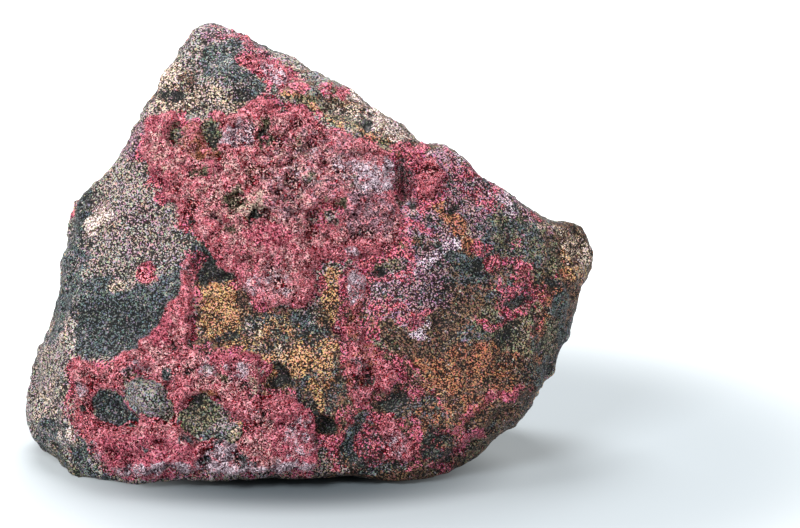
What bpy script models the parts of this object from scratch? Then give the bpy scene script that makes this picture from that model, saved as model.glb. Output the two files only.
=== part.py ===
"""An erythrite specimen: one broken block of host rock, with separate crusts of erythrite grown on it.

Metres, +Z up. The display face looks along -Y and leans back, and the block rests on a flat of its
broken underside at Z 0, with the origin under the middle of the whole. The block is laid out square
to its display face: across to the right, deep away from the viewer and up, in millimetres. STAND
turns that layout upright and moves it over the origin.
"""

import math
from typing import NamedTuple

import bmesh
import bpy
from mathutils import Matrix, Vector, noise
from mathutils.bvhtree import BVHTree

MM = 0.001

# Colours of the dark rock and of the erythrite's shades, as linear light.
ROCK_GREY = (0.20, 0.185, 0.165)
CRIMSON = (0.52, 0.08, 0.15)
ROSE = (0.60, 0.13, 0.24)
MAGENTA = (0.42, 0.07, 0.18)
ROCK_ROUGHNESS = 0.85
CRUST_ROUGHNESS = 0.6

# How far the display face leans back, and where the layout's zero lies from the origin.
FACE_LEAN = math.radians(15.0)
ORIGIN_ACROSS = -0.25
ORIGIN_DEEP = 34.75
FLOOR = -1.5

# The block's outline as seen square to the display face: across, up.
OUTLINE = [
    (-20, 92.7), (-17.8, 91.8), (-14.6, 91), (-11.8, 89.4), (-7, 86.8), (-3.4, 85.6), (1, 82.6), (6, 80.6),
    (8, 79.2), (10, 77.2), (13.2, 75), (16, 73), (18, 72.2), (19.8, 70), (21.6, 68.4), (24, 68.2),
    (27.6, 67.8), (29.6, 66), (32, 64.8), (33.2, 62.8), (34.6, 61.2), (38, 59.6), (40.4, 58.2),
    (45.2, 54.2), (46.4, 53.4), (50, 52.2), (52.8, 52.4), (54.8, 49.8), (56.8, 45.8), (55.8, 44.8),
    (54.4, 39.4), (53.4, 37.8), (53.2, 34.2), (52, 29.4), (50.4, 27), (49, 22.6), (46.4, 20.2),
    (45.2, 19.4), (45, 18.2), (42.8, 15), (40.8, 12), (38, 9.8), (35.6, 7), (33.2, 5.4), (29.4, 3),
    (26, 1.8), (18, 0.6), (14, 0.8), (10, 2.2), (4.4, 2.6), (0.8, 1.2), (-29.4, 1.2), (-31.8, 0.4),
    (-35, -0.2), (-39, 0.4), (-46.2, 1.2), (-49.8, 3.8), (-54.6, 7.4), (-55.8, 9), (-56, 11.8),
    (-57.2, 13.4), (-56.4, 15.4), (-56, 18.2), (-55.2, 24.6), (-52.8, 29.8), (-50.6, 39), (-49.4, 47),
    (-48.6, 51.8), (-46.6, 56.2), (-43.8, 59), (-39.8, 63), (-37.4, 67), (-36.2, 71), (-34.2, 74.2),
    (-31.4, 77.6), (-29.4, 81.4), (-26.2, 87), (-25.4, 88.4), (-23.8, 89.2), (-22.8, 91.4), (-21.8, 92.7),
]

# Corners round the outline, with how deep each lies: across, deep, up.
RIM_CORNERS = [
    (-21.4, 24, 92.4),
    (-26.4, 25, 86.8),
    (-30.6, 24, 79.8),
    (-35, 22, 73.8),
    (-43, 25, 61),
    (-47, 28, 57),
    (-49, 30, 50),
    (-50.5, 28, 40),
    (-54.5, 29, 27),
    (-56.4, 29, 20),
    (-57.2, 30, 13),
    (-56, 29, 9),
    (-50, 20, 4),
    (-46, 12, 1),
    (-38, 7, -0.5),
    (-22, 5.5, 0.5),
    (4, 5.5, 0.5),
    (18, 7, 0.2),
    (28, 15, 2),
    (36, 22, 6.5),
    (42, 22, 13),
    (47, 20, 19),
    (51, 23, 26),
    (53.6, 26, 36),
    (56.8, 28, 46),
    (53.5, 28, 52.6),
    (46, 22, 54),
    (36, 19, 61),
    (29, 18, 67.5),
    (19, 22, 72),
    (6, 23, 80.6),
    (-3, 23, 85.4),
    (-14, 24, 91),
]

# Corners and crowns of the broken faces that are seen from the front.
FACE_CORNERS = [
    (-34, 13, 67),
    (-31, 17, 77),
    (-21.4, 20, 90.5),
    (-12, 14, 82),
    (-4, 11, 78),
    (18, 10, 68),
    (28, 11, 64),
    (46, 17, 52),
    (48.5, 13, 40),
    (44.5, 9, 28),
    (44.5, 10, 20),
    (35, 4, 17.5),
    (28, 3, 11.5),
    (23.5, 3.5, 5.5),
    (17, 5, 1.2),
    (-10, 3.5, 1.4),
    (-32, 4, 1),
    (-47.5, 7, 11),
    (-48.8, 9, 23),
    (-46, 13, 39),
    (-45.5, 15, 45),
    (-45.4, 19, 56),
    (-23, 3, 47),
    (-30, 2.5, 27),
    (-2, 0, 37),
    (22, 2, 47),
    (8, 1, 17),
    (-22, 1, 13),
    (-6, 4, 61),
]

# Corners of the rough back, which broke in a few large flats.
BACK_CORNERS = [
    (-50, 45, 22),
    (-31, 60, 40),
    (-28, 50, 68),
    (-20, 35, 89),
    (-40, 40, 60),
    (24, 57, 36),
    (44, 46, 28),
    (52, 39, 46),
    (16, 47, 67),
    (-6, 59, 14),
    (36, 41, 57),
]

# Corners of the underside, on the standing block: across and back, this far below the floor.
BASE_DROP = 3.0
BASE_CORNERS = [
    (-38, 12),
    (-10, 10),
    (20, 11),
    (30, 24),
    (34, 40),
    (20, 54),
    (-5, 58),
    (-30, 52),
    (-44, 40),
    (-46, 26),
]


class Relief(NamedTuple):
    """A lump or a hollow: its middle, half sizes, turn in degrees and rise, in millimetres."""

    across: float
    up: float
    half_across: float
    half_up: float
    turn: float
    rise: float


class Ledges(NamedTuple):
    """A patch of steps one above the other: as a lump, with the steps' spacing."""

    across: float
    up: float
    half_across: float
    half_up: float
    turn: float
    rise: float
    spacing: float


# Lumps and hollows of the display face.
FACE_RELIEF = [
    Relief(-11, 31, 15, 10, -20, -1.7),
    Relief(-6.5, 22, 3.6, 3.2, 0, -2.4),
    Relief(4, 11.8, 2.6, 2.8, 0, -3.8),
    Relief(19, 61.2, 2.2, 5.6, 10, -4.2),
    Relief(-20.5, 43.5, 4.4, 3.6, 0, -2.2),
    Relief(-31, 17.4, 5.8, 4.2, -35, 4.6),
    Relief(-40.4, 15.6, 5, 3, -30, -1.4),
    Relief(-19.4, 13.8, 4.6, 4, -30, -1.4),
    Relief(11, 10.5, 3.0, 5.5, 10, -1.6),
    Relief(32, 43, 11, 5, 10, -1.6),
    Relief(17, 37, 10, 7, 0, 1.1),
    Relief(-38, 33, 10, 7, 10, -1.2),
    Relief(-40, 52, 8, 8, 0, 0.9),
    Relief(33, 30, 9, 6, 20, 1.0),
    Relief(29, 56, 7, 4, -35, 0.9),
    Relief(4, 74.5, 12, 3, -28, -1.2),
    Relief(-20, 80, 9, 5, 30, 1.0),
    Relief(-27, 88, 3, 6, 30, -1.0),
    Relief(18, 24.5, 9, 2.2, -40, 1.2),
    Relief(22, 18, 7, 3, -30, -0.9),
]

# Steps where the rock broke along its layers.
LEDGES = [
    Ledges(36, 11, 16, 9, 38, 1.8, 3.6),
    Ledges(-50, 32, 7, 26, -12, 1.1, 3.2),
    Ledges(-48, 6, 10, 7, -35, 1.5, 3.0),
    Ledges(52, 34, 5, 16, 12, 1.4, 2.8),
    Ledges(2, 79, 24, 5, -28, 0.9, 2.4),
]

# How the block's faces wander before it is trimmed: its spare width round the outline, long swells,
# and chipped flats with a step and a tilt of their own, rougher on the back.
RIM_SPARE = 1.3
OUTLINE_REACH = 200.0
SWELL = 0.9
SWELL_LENGTH = 19.0
CHIP_STEP = 1.0
CHIP_LENGTH = 11.0
CHIP_TILT = 0.20
BACK_ROUGHER = 0.9

# A coarse grain over everything, and how far the steps' edges wander.
GRAIN = 0.22
GRAIN_LENGTH = 2.6
LEDGE_WANDER = 1.2
LEDGE_WANDER_LENGTH = 7.0

# Each noise is read at a pitch and place of its own, so that no two follow each other.
NOISE_SEED = 11
CHIP_STEP_PITCH = 0.61
CHIP_STEP_SHIFT = Vector((5.2, 1.3, 8.8))
CHIP_TILT_PITCH = 0.37

# The size of the block's faces, and the share kept where it is thinned out.
HOST_FACE_SIZE = 1.5
HOST_SHARE_KEPT = 0.185

# The room between a crust and the rock, how deep a crust's plate starts inside the rock, how far in
# front of the face it is laid on from, and the crust's lumps.
GAP = 0.32
ROOT = 2.6
DRAPE_START = 100.0
CRUST_LUMP = 0.75
CRUST_LUMP_LENGTH = 3.6

# Pits that break the crusts' surface.
CRUST_PITS = [
    Relief(-23.8, 53.2, 1.6, 1.6, 0, -1.8),
    Relief(-19.4, 53.2, 1.5, 1.5, 0, -1.8),
    Relief(-10.4, 54, 2.6, 2.0, 0, -2.2),
    Relief(-9, 70.2, 1.6, 3.4, 5, -1.6),
    Relief(-15, 57, 2.6, 2.4, 0, -2.0),
    Relief(2.6, 65.5, 2.2, 2.0, 0, 0.8),
    Relief(13, 60.4, 5, 4, 20, 0.9),
    Relief(-3, 38.5, 4, 3, 0, 0.9),
    Relief(-46.6, 20.4, 1.4, 1.4, 0, -1.6),
    Relief(-46.8, 15, 1.6, 1.8, 0, -1.2),
    Relief(-36.5, 22, 2.6, 1.8, 0, -1.4),
    Relief(-20, 4.6, 5, 2.4, 0, -0.9),
    Relief(-33, 26.5, 3, 2.4, 20, 0.9),
    Relief(-3, 11, 3, 3, 0, 0.8),
    Relief(11.6, 21.6, 1.8, 2.6, 0, -1.6),
]


class Crust(NamedTuple):
    """A patch of erythrite: its height over the rock, face size, colour, outline and bare windows."""

    name: str
    height: float
    face_size: float
    share_kept: float
    colour: tuple
    outline: list
    windows: list


UPPER_CRUST = Crust(
    name="crust_upper",
    height=2.7,
    face_size=1.4,
    share_kept=0.26,
    colour=CRIMSON,
    outline=[
        (-33.8, 67), (-33.4, 71), (-32, 74), (-29.4, 75), (-26.6, 74.4), (-26.2, 69.2), (-24.8, 72.4),
        (-22.8, 73.2), (-21, 71.8), (-20.6, 67.6), (-18.6, 67.2), (-17.8, 70), (-19.4, 74.8),
        (-17.4, 75.6), (-15.6, 74), (-13.4, 75.4), (-11.4, 78.2), (-9.6, 78.6), (-8.2, 76.6),
        (-5, 75.6), (-1.6, 75.2), (1.6, 73.8), (4.4, 71.2), (8, 69.4), (11.6, 68.4), (14.6, 67.2),
        (16.8, 65.2), (17.2, 62), (16.6, 58.6), (18.4, 55.8), (19, 51.8), (18.8, 47.8), (17, 45.4),
        (13, 45.2), (8.4, 45.8), (6, 45), (3.8, 45), (2, 48), (1.4, 44), (2.8, 40.4), (1.6, 37.2),
        (-1, 36), (-3.6, 35.2), (-7, 35), (-9.6, 35.6), (-11.6, 37.6), (-13.4, 39.2), (-14.8, 41.6),
        (-17.6, 43.2), (-20, 45.6), (-21.6, 48), (-22.8, 51), (-24.8, 51.2), (-26.4, 53.2),
        (-26.4, 55.2), (-29, 57.2), (-31.6, 60), (-32.8, 62.8), (-34.4, 64.8),
    ],
    windows=[[(1.4, 55), (3.4, 57), (6.6, 56.4), (7, 53.4), (4.6, 52), (2, 52.6)]],
)

LOWER_CRUST = Crust(
    name="crust_lower",
    height=2.5,
    face_size=1.4,
    share_kept=0.26,
    colour=CRIMSON,
    outline=[
        (-48, 24.4), (-45, 25.4), (-41, 24.4), (-37.6, 25.8), (-35.6, 28.4), (-32.8, 29.4),
        (-31.4, 31.8), (-30, 34.4), (-28.4, 36.4), (-26, 38.4), (-25.6, 42), (-25.4, 45),
        (-23.8, 46.2), (-22.4, 44.2), (-22.6, 40.8), (-22.8, 37.2), (-24, 33.8), (-23.6, 30.8),
        (-24, 27.8), (-21, 27.4), (-16.4, 26.8), (-12, 27.4), (-8.6, 27), (-7.4, 24.4), (-9.4, 21.2),
        (-10.6, 18.4), (-8.4, 17.2), (-6.8, 19.2), (-3.6, 19.6), (-1.4, 17.4), (0.4, 15.2),
        (2.2, 13.6), (1.6, 10.8), (1.4, 7.8), (1.4, 4.8), (2.2, 2.6), (-2, 2.2), (-8, 2.4), (-16, 2.2),
        (-24, 2), (-31, 1.8), (-37, 2), (-41, 3.2), (-43.6, 5.6), (-45, 8.6), (-46.6, 11), (-48.4, 13.2),
        (-48.4, 15.8), (-47.6, 18.4), (-48, 21.6),
    ],
    windows=[
        [(-44, 19.2), (-41.2, 18.8), (-37.8, 16.2), (-36.2, 14.4), (-36.2, 12), (-39.6, 12), (-42.6, 14.4)],
        [(-34.8, 19.8), (-32, 21), (-28.4, 19.4), (-26.4, 16), (-27.6, 13.4), (-31, 14), (-33.6, 16.4)],
        [
            (-24.6, 16.6), (-21, 18.2), (-17.6, 16.4), (-14.8, 12.8), (-14.4, 9.6), (-17.2, 10.4),
            (-21.2, 9.2), (-24, 11.4),
        ],
    ],
)

RIGHT_CRUST = Crust(
    name="crust_right",
    height=2.1,
    face_size=1.2,
    share_kept=0.26,
    colour=ROSE,
    outline=[
        (8.4, 43.4), (11, 43.4), (12.4, 41.2), (11.2, 38.4), (10.4, 35.8), (10.4, 33.2), (11.6, 29.8),
        (13.6, 27.2), (16, 25.2), (18.4, 23.2), (20.4, 20.4), (19, 18.8), (16.4, 19.6), (14, 18.4),
        (12.4, 16.8), (10.8, 15.2), (9.6, 12.8), (8.4, 10.8), (7.4, 8.4), (6.8, 5.8), (5.8, 3.4),
        (4.4, 3), (3.6, 5.8), (4.6, 8.4), (6.2, 10.6), (6.2, 13.2), (7.2, 15.4), (8.2, 17.2), (7.4, 19.2),
        (6.6, 21.6), (6.2, 24.4), (7.2, 26.8), (6.2, 28.8), (4, 30.6), (3.8, 32.4), (6.4, 33.2),
        (7.6, 35.2), (7.2, 38.4), (7, 41.2),
    ],
    windows=[],
)

MAGENTA_CRUST = Crust(
    name="crust_magenta",
    height=1.3,
    face_size=1.0,
    share_kept=0.4,
    colour=MAGENTA,
    outline=[
        (12.8, 13.8), (14.8, 14.6), (17.2, 14.6), (18.4, 13.4), (18.8, 11), (20.4, 8.6), (22, 7),
        (21.2, 4.6), (18, 3.8), (16, 4.2), (14, 7), (13.4, 10.2),
    ],
    windows=[],
)

CORNER_CRUST = Crust(
    name="crust_corner",
    height=2.2,
    face_size=1.1,
    share_kept=0.4,
    colour=CRIMSON,
    outline=[
        (19.6, 66.4), (22, 66), (26, 65.4), (29.2, 63.8), (29.8, 62.6), (27.2, 60.8), (24.4, 58.2),
        (21.8, 57.2), (20.8, 59.6), (20.8, 63.2),
    ],
    windows=[],
)

TOP_EDGE_CRUST = Crust(
    name="crust_top_edge",
    height=1.5,
    face_size=0.9,
    share_kept=0.3,
    colour=ROSE,
    outline=[
        (-14.6, 87.2), (-11.6, 85.8), (-8.4, 85.2), (-5, 84), (-2.4, 82), (-1.2, 80.6), (-2.4, 79),
        (-5.6, 79.2), (-8.6, 81.4), (-11.4, 83.6), (-14, 86),
    ],
    windows=[],
)

TOP_KNOB_CRUST = Crust(
    name="crust_top_knob",
    height=1.3,
    face_size=0.9,
    share_kept=0.6,
    colour=ROSE,
    outline=[(2.4, 80), (5, 79.6), (7.2, 78), (6.6, 76.8), (4.2, 77), (2.4, 78.4)],
    windows=[],
)

ROSETTE_CRUST = Crust(
    name="crust_rosette",
    height=1.0,
    face_size=0.7,
    share_kept=0.6,
    colour=ROSE,
    outline=[
        (-35, 42.4), (-34, 43.6), (-32.2, 43.2), (-31.5, 42), (-29.9, 41.7), (-30, 40.5), (-32, 40.5),
        (-33.2, 40), (-34.6, 40.6),
    ],
    windows=[],
)

CRUSTS = [
    UPPER_CRUST,
    LOWER_CRUST,
    RIGHT_CRUST,
    MAGENTA_CRUST,
    CORNER_CRUST,
    TOP_EDGE_CRUST,
    TOP_KNOB_CRUST,
    ROSETTE_CRUST,
]

SHARP_EDGE = math.radians(35)
LEAN = Matrix.Rotation(-FACE_LEAN, 4, "X")
STAND = Matrix.Translation(-MM * Vector((ORIGIN_ACROSS, ORIGIN_DEEP, FLOOR))) @ LEAN
TOWARDS_VIEWER = Vector((0, -1, 0))


def clear_scene():
    """Empties the scene of every object."""
    for obj in list(bpy.data.objects):
        bpy.data.objects.remove(obj, do_unlink=True)


def new_collection(name):
    """A collection in the scene, for the pieces or for the cutters."""
    made = bpy.data.collections.new(name)
    bpy.context.scene.collection.children.link(made)
    return made


def stone(name, colour, roughness):
    """A plain mineral material."""
    material = bpy.data.materials.new(name)
    material.use_nodes = True
    shader = material.node_tree.nodes["Principled BSDF"]
    shader.inputs["Base Color"].default_value = (*colour, 1)
    shader.inputs["Roughness"].default_value = roughness
    shader.inputs["Metallic"].default_value = 0
    material.diffuse_color = (*colour, 1)
    return material


def put(name, data, collection):
    """An object of this mesh or curve, in this collection."""
    obj = bpy.data.objects.new(name, data)
    collection.objects.link(obj)
    return obj


def settled(obj):
    """The object's evaluated mesh, which takes the place of its modifiers."""
    bpy.context.view_layer.update()
    graph = bpy.context.evaluated_depsgraph_get()
    return bpy.data.meshes.new_from_object(obj.evaluated_get(graph))


def replace_with_mesh(obj, mesh, collection):
    """A mesh object with the same name, in place of an object that is no longer needed."""
    name = obj.name
    bpy.data.objects.remove(obj, do_unlink=True)
    return put(name, mesh, collection)


def even_faces(obj, size, collection):
    """The object with even faces of this size in millimetres all over, as a plain mesh."""
    modifier = obj.modifiers.new("even faces", "REMESH")
    modifier.mode = "VOXEL"
    modifier.voxel_size = size * MM
    return replace_with_mesh(obj, settled(obj), collection)


def fewer_faces(obj, share, collection):
    """The object with this share of its faces, most where it bends, as a plain mesh."""
    modifier = obj.modifiers.new("fewer faces", "DECIMATE")
    modifier.ratio = share
    modifier.use_collapse_triangulate = True
    return replace_with_mesh(obj, settled(obj), collection)


def move_vertices(mesh, shift):
    """Moves each vertex by shift(its place, its normal), both in millimetres."""
    bm = bmesh.new()
    bm.from_mesh(mesh)
    bm.normal_update()
    moved = [vert.co + MM * shift(vert.co / MM, vert.normal) for vert in bm.verts]
    for vert, place in zip(bm.verts, moved):
        vert.co = place
    bm.to_mesh(mesh)
    bm.free()


def keep_largest_body(mesh):
    """Drops the crumbs that a cut leaves beside the main body."""
    bm = bmesh.new()
    bm.from_mesh(mesh)
    bmesh.ops.remove_doubles(bm, verts=bm.verts, dist=0.002 * MM)
    bodies = []
    left = set(bm.verts)
    while left:
        body = {left.pop()}
        edge_of_search = set(body)
        while edge_of_search:
            found = {e.other_vert(v) for v in edge_of_search for e in v.link_edges} - body
            body |= found
            edge_of_search = found
        left -= body
        bodies.append(body)
    largest = max(bodies, key=len)
    crumbs = [vert for vert in bm.verts if vert not in largest]
    bmesh.ops.delete(bm, geom=crumbs, context="VERTS")
    bm.to_mesh(mesh)
    bm.free()


def inside_patch(place, feature):
    """Where a place lies in a feature: its reach (1 at the rim), and how far along and aside."""
    turn = math.radians(feature.turn)
    across = place.x - feature.across
    up = place.z - feature.up
    along = across * math.cos(turn) + up * math.sin(turn)
    aside = up * math.cos(turn) - across * math.sin(turn)
    reach = (along / feature.half_across) ** 2 + (aside / feature.half_up) ** 2
    return reach, along, aside


def relief_at(place, features):
    """The rise of the lumps and hollows over one place of the display face, in millimetres."""
    rise = 0.0
    for feature in features:
        reach = inside_patch(place, feature)[0]
        if reach < 1:
            rise += feature.rise * (1 - reach) ** 1.5
    return rise


def ledges_at(place):
    """The rise of the steps over one place: a slow slope up to each edge, then a drop."""
    rise = 0.0
    for patch in LEDGES:
        reach, along, aside = inside_patch(place, patch)
        if reach < 1:
            wander = LEDGE_WANDER * noise.noise(place / LEDGE_WANDER_LENGTH)
            narrow = along if patch.half_across < patch.half_up else aside
            step = ((narrow + wander) / patch.spacing) % 1
            rise += patch.rise * (step - 0.5) * min(1, 2.5 * (1 - reach))
    return rise


def chip_at(place):
    """The broken flats: each cell of rock is a plane of its own, tilted a little."""
    centre = noise.voronoi(place / CHIP_LENGTH)[1][0] * CHIP_LENGTH
    step = noise.noise(centre * CHIP_STEP_PITCH + CHIP_STEP_SHIFT)
    tilt = noise.noise_vector(centre * CHIP_TILT_PITCH)
    return CHIP_STEP * step + CHIP_TILT * tilt.dot(place - centre)


def rim_share(normal):
    """How much a surface looks sideways, so that it is part of the outline: 0 to 1."""
    return max(0.0, 1 - 1.3 * abs(normal.dot(TOWARDS_VIEWER)))


def front_share(normal):
    """How much a surface is seen from the front: 0 to 1."""
    return max(0.0, min(1.0, 0.4 + 1.2 * normal.dot(TOWARDS_VIEWER)))


def broken_surface(place, normal):
    """How the block leaves its flat faces before it is trimmed to its outline."""
    swell = SWELL * noise.fractal(place / SWELL_LENGTH, 1.0, 2.0, 3)
    chips = chip_at(place) * (1 + BACK_ROUGHER * (1 - front_share(normal)))
    return normal * (RIM_SPARE * rim_share(normal) + swell + chips)


def carved_surface(place, normal):
    """The display face's lumps, hollows and steps, and a coarse grain all over."""
    grain = GRAIN * noise.fractal(place / GRAIN_LENGTH, 1.0, 2.0, 2)
    carved = relief_at(place, FACE_RELIEF) + ledges_at(place)
    return normal * (grain + front_share(normal) * carved)


def on_floor(across, back):
    """A corner of the underside, in the layout's own axes."""
    standing = Vector((across, back, FLOOR - BASE_DROP))
    return LEAN.inverted() @ standing


def hull_of_corners(name, collection):
    """The smallest flat-faced block that holds every corner."""
    bm = bmesh.new()
    corners = [Vector(corner) for corner in RIM_CORNERS + FACE_CORNERS + BACK_CORNERS]
    corners += [on_floor(across, back) for across, back in BASE_CORNERS]
    for corner in corners:
        bm.verts.new(corner * MM)
    hull = bmesh.ops.convex_hull(bm, input=bm.verts)
    inside = {item for item in hull["geom_interior"] if isinstance(item, bmesh.types.BMVert)}
    bmesh.ops.delete(bm, geom=list(inside), context="VERTS")
    mesh = bpy.data.meshes.new(name)
    bm.to_mesh(mesh)
    bm.free()
    return put(name, mesh, collection)


def standing_plate(name, outline, windows, thickness, collection):
    """A flat plate with this outline, standing in the plane of the display face."""
    curve = bpy.data.curves.new(name, "CURVE")
    curve.dimensions = "2D"
    curve.fill_mode = "BOTH"
    curve.extrude = thickness * MM / 2
    for ring in [outline, *windows]:
        spline = curve.splines.new("POLY")
        spline.points.add(len(ring) - 1)
        spline.use_cyclic_u = True
        for point, (across, up) in zip(spline.points, ring):
            point.co = (across * MM, up * MM, 0, 1)
    plate = put(name, curve, collection)
    plate = replace_with_mesh(plate, settled(plate), collection)
    bm = bmesh.new()
    bm.from_mesh(plate.data)
    bmesh.ops.remove_doubles(bm, verts=bm.verts, dist=0.01 * MM)
    upright = Matrix.Rotation(math.radians(90), 3, "X")
    bmesh.ops.rotate(bm, cent=(0, 0, 0), matrix=upright, verts=bm.verts)
    bm.to_mesh(plate.data)
    bm.free()
    return plate


def as_cutter(obj):
    """Marks an object that only cuts others."""
    obj.hide_render = True
    obj.display_type = "WIRE"
    return obj


def combine(obj, other, operation, collection):
    """The object after a Boolean with another, as a plain mesh in this collection."""
    modifier = obj.modifiers.new(operation.lower(), "BOOLEAN")
    modifier.operation = operation
    modifier.object = other
    return replace_with_mesh(obj, settled(obj), collection)


def host_rock(pieces, cutters):
    """The block, in the layout's axes: broken up, trimmed to its outline and cut flat below."""
    rock = hull_of_corners("host_rock", pieces)
    rock = even_faces(rock, HOST_FACE_SIZE, pieces)
    move_vertices(rock.data, broken_surface)
    outline = as_cutter(standing_plate("outline", OUTLINE, [], OUTLINE_REACH, cutters))
    rock = combine(rock, outline, "INTERSECT", pieces)
    rock = even_faces(rock, HOST_FACE_SIZE, pieces)
    move_vertices(rock.data, carved_surface)
    rock = fewer_faces(rock, HOST_SHARE_KEPT, pieces)
    cut_at_floor(rock.data)
    return rock


def cut_at_floor(mesh):
    """Cuts the block flat where it rests, and closes the cut."""
    bm = bmesh.new()
    bm.from_mesh(mesh)
    down = LEAN.inverted() @ Vector((0, 0, -1))
    cut = bmesh.ops.bisect_plane(
        bm,
        geom=bm.verts[:] + bm.edges[:] + bm.faces[:],
        plane_co=LEAN.inverted() @ Vector((0, 0, FLOOR * MM)),
        plane_no=down,
        clear_outer=True,
    )
    rim = [item for item in cut["geom_cut"] if isinstance(item, bmesh.types.BMEdge)]
    bmesh.ops.holes_fill(bm, edges=rim)
    bmesh.ops.triangulate(bm, faces=bm.faces[:])
    bmesh.ops.recalc_face_normals(bm, faces=bm.faces[:])
    bm.to_mesh(mesh)
    bm.free()


def grown_copy(rock, collection):
    """The block made larger all over by the gap, which trims the crusts."""
    grown = put("grown_rock", rock.data.copy(), collection)
    move_vertices(grown.data, lambda place, normal: normal * GAP)
    return as_cutter(grown)


def drape(plate, crust, rock_tree):
    """Lays the plate on the rock: its outer side ends at the crust's height, with lumps."""
    half = (crust.height + ROOT) / 2

    def shift(place, normal):
        start = Vector((place.x, -DRAPE_START, place.z)) * MM
        hit = rock_tree.ray_cast(start, -TOWARDS_VIEWER)[0]
        if hit is None:
            hit = rock_tree.find_nearest(Vector((place.x, 0, place.z)) * MM)[0]
        lift = hit.y / MM + half - crust.height
        lump = CRUST_LUMP * noise.fractal(place / CRUST_LUMP_LENGTH, 0.8, 2.1, 3)
        pit = relief_at(place, CRUST_PITS) * max(0, normal.dot(TOWARDS_VIEWER))
        return Vector((0, lift, 0)) + normal * (lump + pit)

    move_vertices(plate.data, shift)


def crust_solid(crust, rock_tree, grown, pieces, cutters):
    """One crust, trimmed to leave the gap over the rock."""
    thickness = crust.height + ROOT
    plate = standing_plate(crust.name, crust.outline, crust.windows, thickness, cutters)
    plate = even_faces(plate, crust.face_size, cutters)
    drape(plate, crust, rock_tree)
    plate = fewer_faces(plate, crust.share_kept, cutters)
    solid = combine(plate, grown, "DIFFERENCE", pieces)
    keep_largest_body(solid.data)
    return solid


def dress(obj, colour, roughness):
    """A material of its own all over, and shading that keeps the broken edges."""
    obj.data.materials.clear()
    obj.data.materials.append(stone(obj.name, colour, roughness))
    obj.data.shade_smooth()
    obj.data.set_sharp_from_angle(angle=SHARP_EDGE)


def main():
    """Builds the block and its crusts, and stands them on the origin."""
    clear_scene()
    noise.seed_set(NOISE_SEED)
    pieces = new_collection("erythrite_specimen")
    cutters = new_collection("cutters")
    rock = host_rock(pieces, cutters)
    grown = grown_copy(rock, cutters)
    graph = bpy.context.evaluated_depsgraph_get()
    rock_tree = BVHTree.FromObject(rock, graph)
    crusts = [crust_solid(crust, rock_tree, grown, pieces, cutters) for crust in CRUSTS]
    dress(rock, ROCK_GREY, ROCK_ROUGHNESS)
    for crust, solid in zip(CRUSTS, crusts):
        dress(solid, crust.colour, CRUST_ROUGHNESS)
    for obj in [rock, *crusts, *cutters.objects]:
        obj.data.transform(STAND)


main()
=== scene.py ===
"""Looks of the erythrite specimen: the finely broken host rock, its crusts and their crystal sprays.

The stone is laid out square to its display face: across to the right, up along the leaning face and
deep away from the viewer, all in millimetres. FaceLayout turns places of the standing stone into that
layout, so that stains, pits and lumps are placed by what is seen on the face.
"""

import logging
import math
from dataclasses import dataclass, field, replace
from enum import Enum, IntEnum
from typing import Iterable

import bmesh
import bpy
import numpy as np
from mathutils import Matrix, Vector
from mathutils.bvhtree import BVHTree
from mathutils.kdtree import KDTree


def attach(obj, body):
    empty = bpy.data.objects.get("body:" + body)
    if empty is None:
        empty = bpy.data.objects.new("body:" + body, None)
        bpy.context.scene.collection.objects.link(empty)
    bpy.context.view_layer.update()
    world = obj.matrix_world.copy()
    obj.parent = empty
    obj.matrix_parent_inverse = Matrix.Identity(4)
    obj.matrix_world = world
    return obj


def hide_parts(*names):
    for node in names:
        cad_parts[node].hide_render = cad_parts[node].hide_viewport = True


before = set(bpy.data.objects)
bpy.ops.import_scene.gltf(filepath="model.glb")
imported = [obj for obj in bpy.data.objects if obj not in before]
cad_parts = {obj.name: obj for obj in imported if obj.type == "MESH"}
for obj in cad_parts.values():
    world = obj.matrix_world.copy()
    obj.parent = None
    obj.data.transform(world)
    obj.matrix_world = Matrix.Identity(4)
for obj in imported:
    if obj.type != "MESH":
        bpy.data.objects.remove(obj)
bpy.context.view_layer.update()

MM = 0.001
BODY = "root"
LOG = logging.getLogger("erythrite")
NEAREST_POINTS = 1e-9  # The least squared length, in square millimetres, of a line between two points.
SAME_PLACE = 1e-6  # The distance, in metres, under which two vertices are one.
SMOOTHING_SHARE = 0.5  # How far each smoothing moves a vertex to the middle of those beside it.
FOOT = 1.5  # The height over the resting plane, in millimetres, up to which the surface moves less.
REACH = 6.0  # The farthest distance that nearest_distances measures, in millimetres.
SEEN_FROM = (-0.15, 0.25)  # How far a place looks to the viewer where its seen stains begin and are full.
BLOOM_COVER = (0.45, 0.95)  # How much rose there is where the rock's sprays begin and are dense.
BLOOM_RIM = (0.6, 1.2)  # How much rose there is where they begin to be hot pink and all are.
OUTER_FROM = (0.5, 1.3)  # How far off the rock, in millimetres, a crust's outer side begins and is full.
WALL_LEVEL = 0.55  # How little a crust's side wall looks away from the rock.
WALL_START = 0.4  # How far off the rock, in millimetres, a crust's side wall begins.
LOWEST_GRAIN = -0.4  # How deep the gaps between a crust's lumps are, as a share of the lumps' height.
GAPS_FROM = (0.15, 0.75)  # The height of the swells where a crust's hollows begin and are full.
OPEN_FROM = (-1.6, -0.4)  # The rise, in millimetres, where a crust's sprays begin and are dense.
BARE_OF_SPRAYS = 0.85  # The share of the sprays that is missing where rock shows through.

Point = tuple[float, float]
Colour = tuple[float, float, float]


class Mineral(Enum):
    """What a patch of the stone is made of or coated with, or, for black, where shade is painted. The value
    names its mesh attribute.
    """

    SLATE = "slate"
    MAUVE = "mauve"
    TAN = "tan"
    OCHRE = "ochre"
    LILAC = "lilac"
    ROSE = "rose"
    # Black: painted shade in the cracks, pits and holes where it lies; the surface is sunk there too.
    BLACK = "black"
    OLIVE = "olive"
    UMBER = "umber"
    RUST = "rust"
    BARE = "bare"
    CHALK = "chalk"
    PEBBLE = "pebble"


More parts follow.
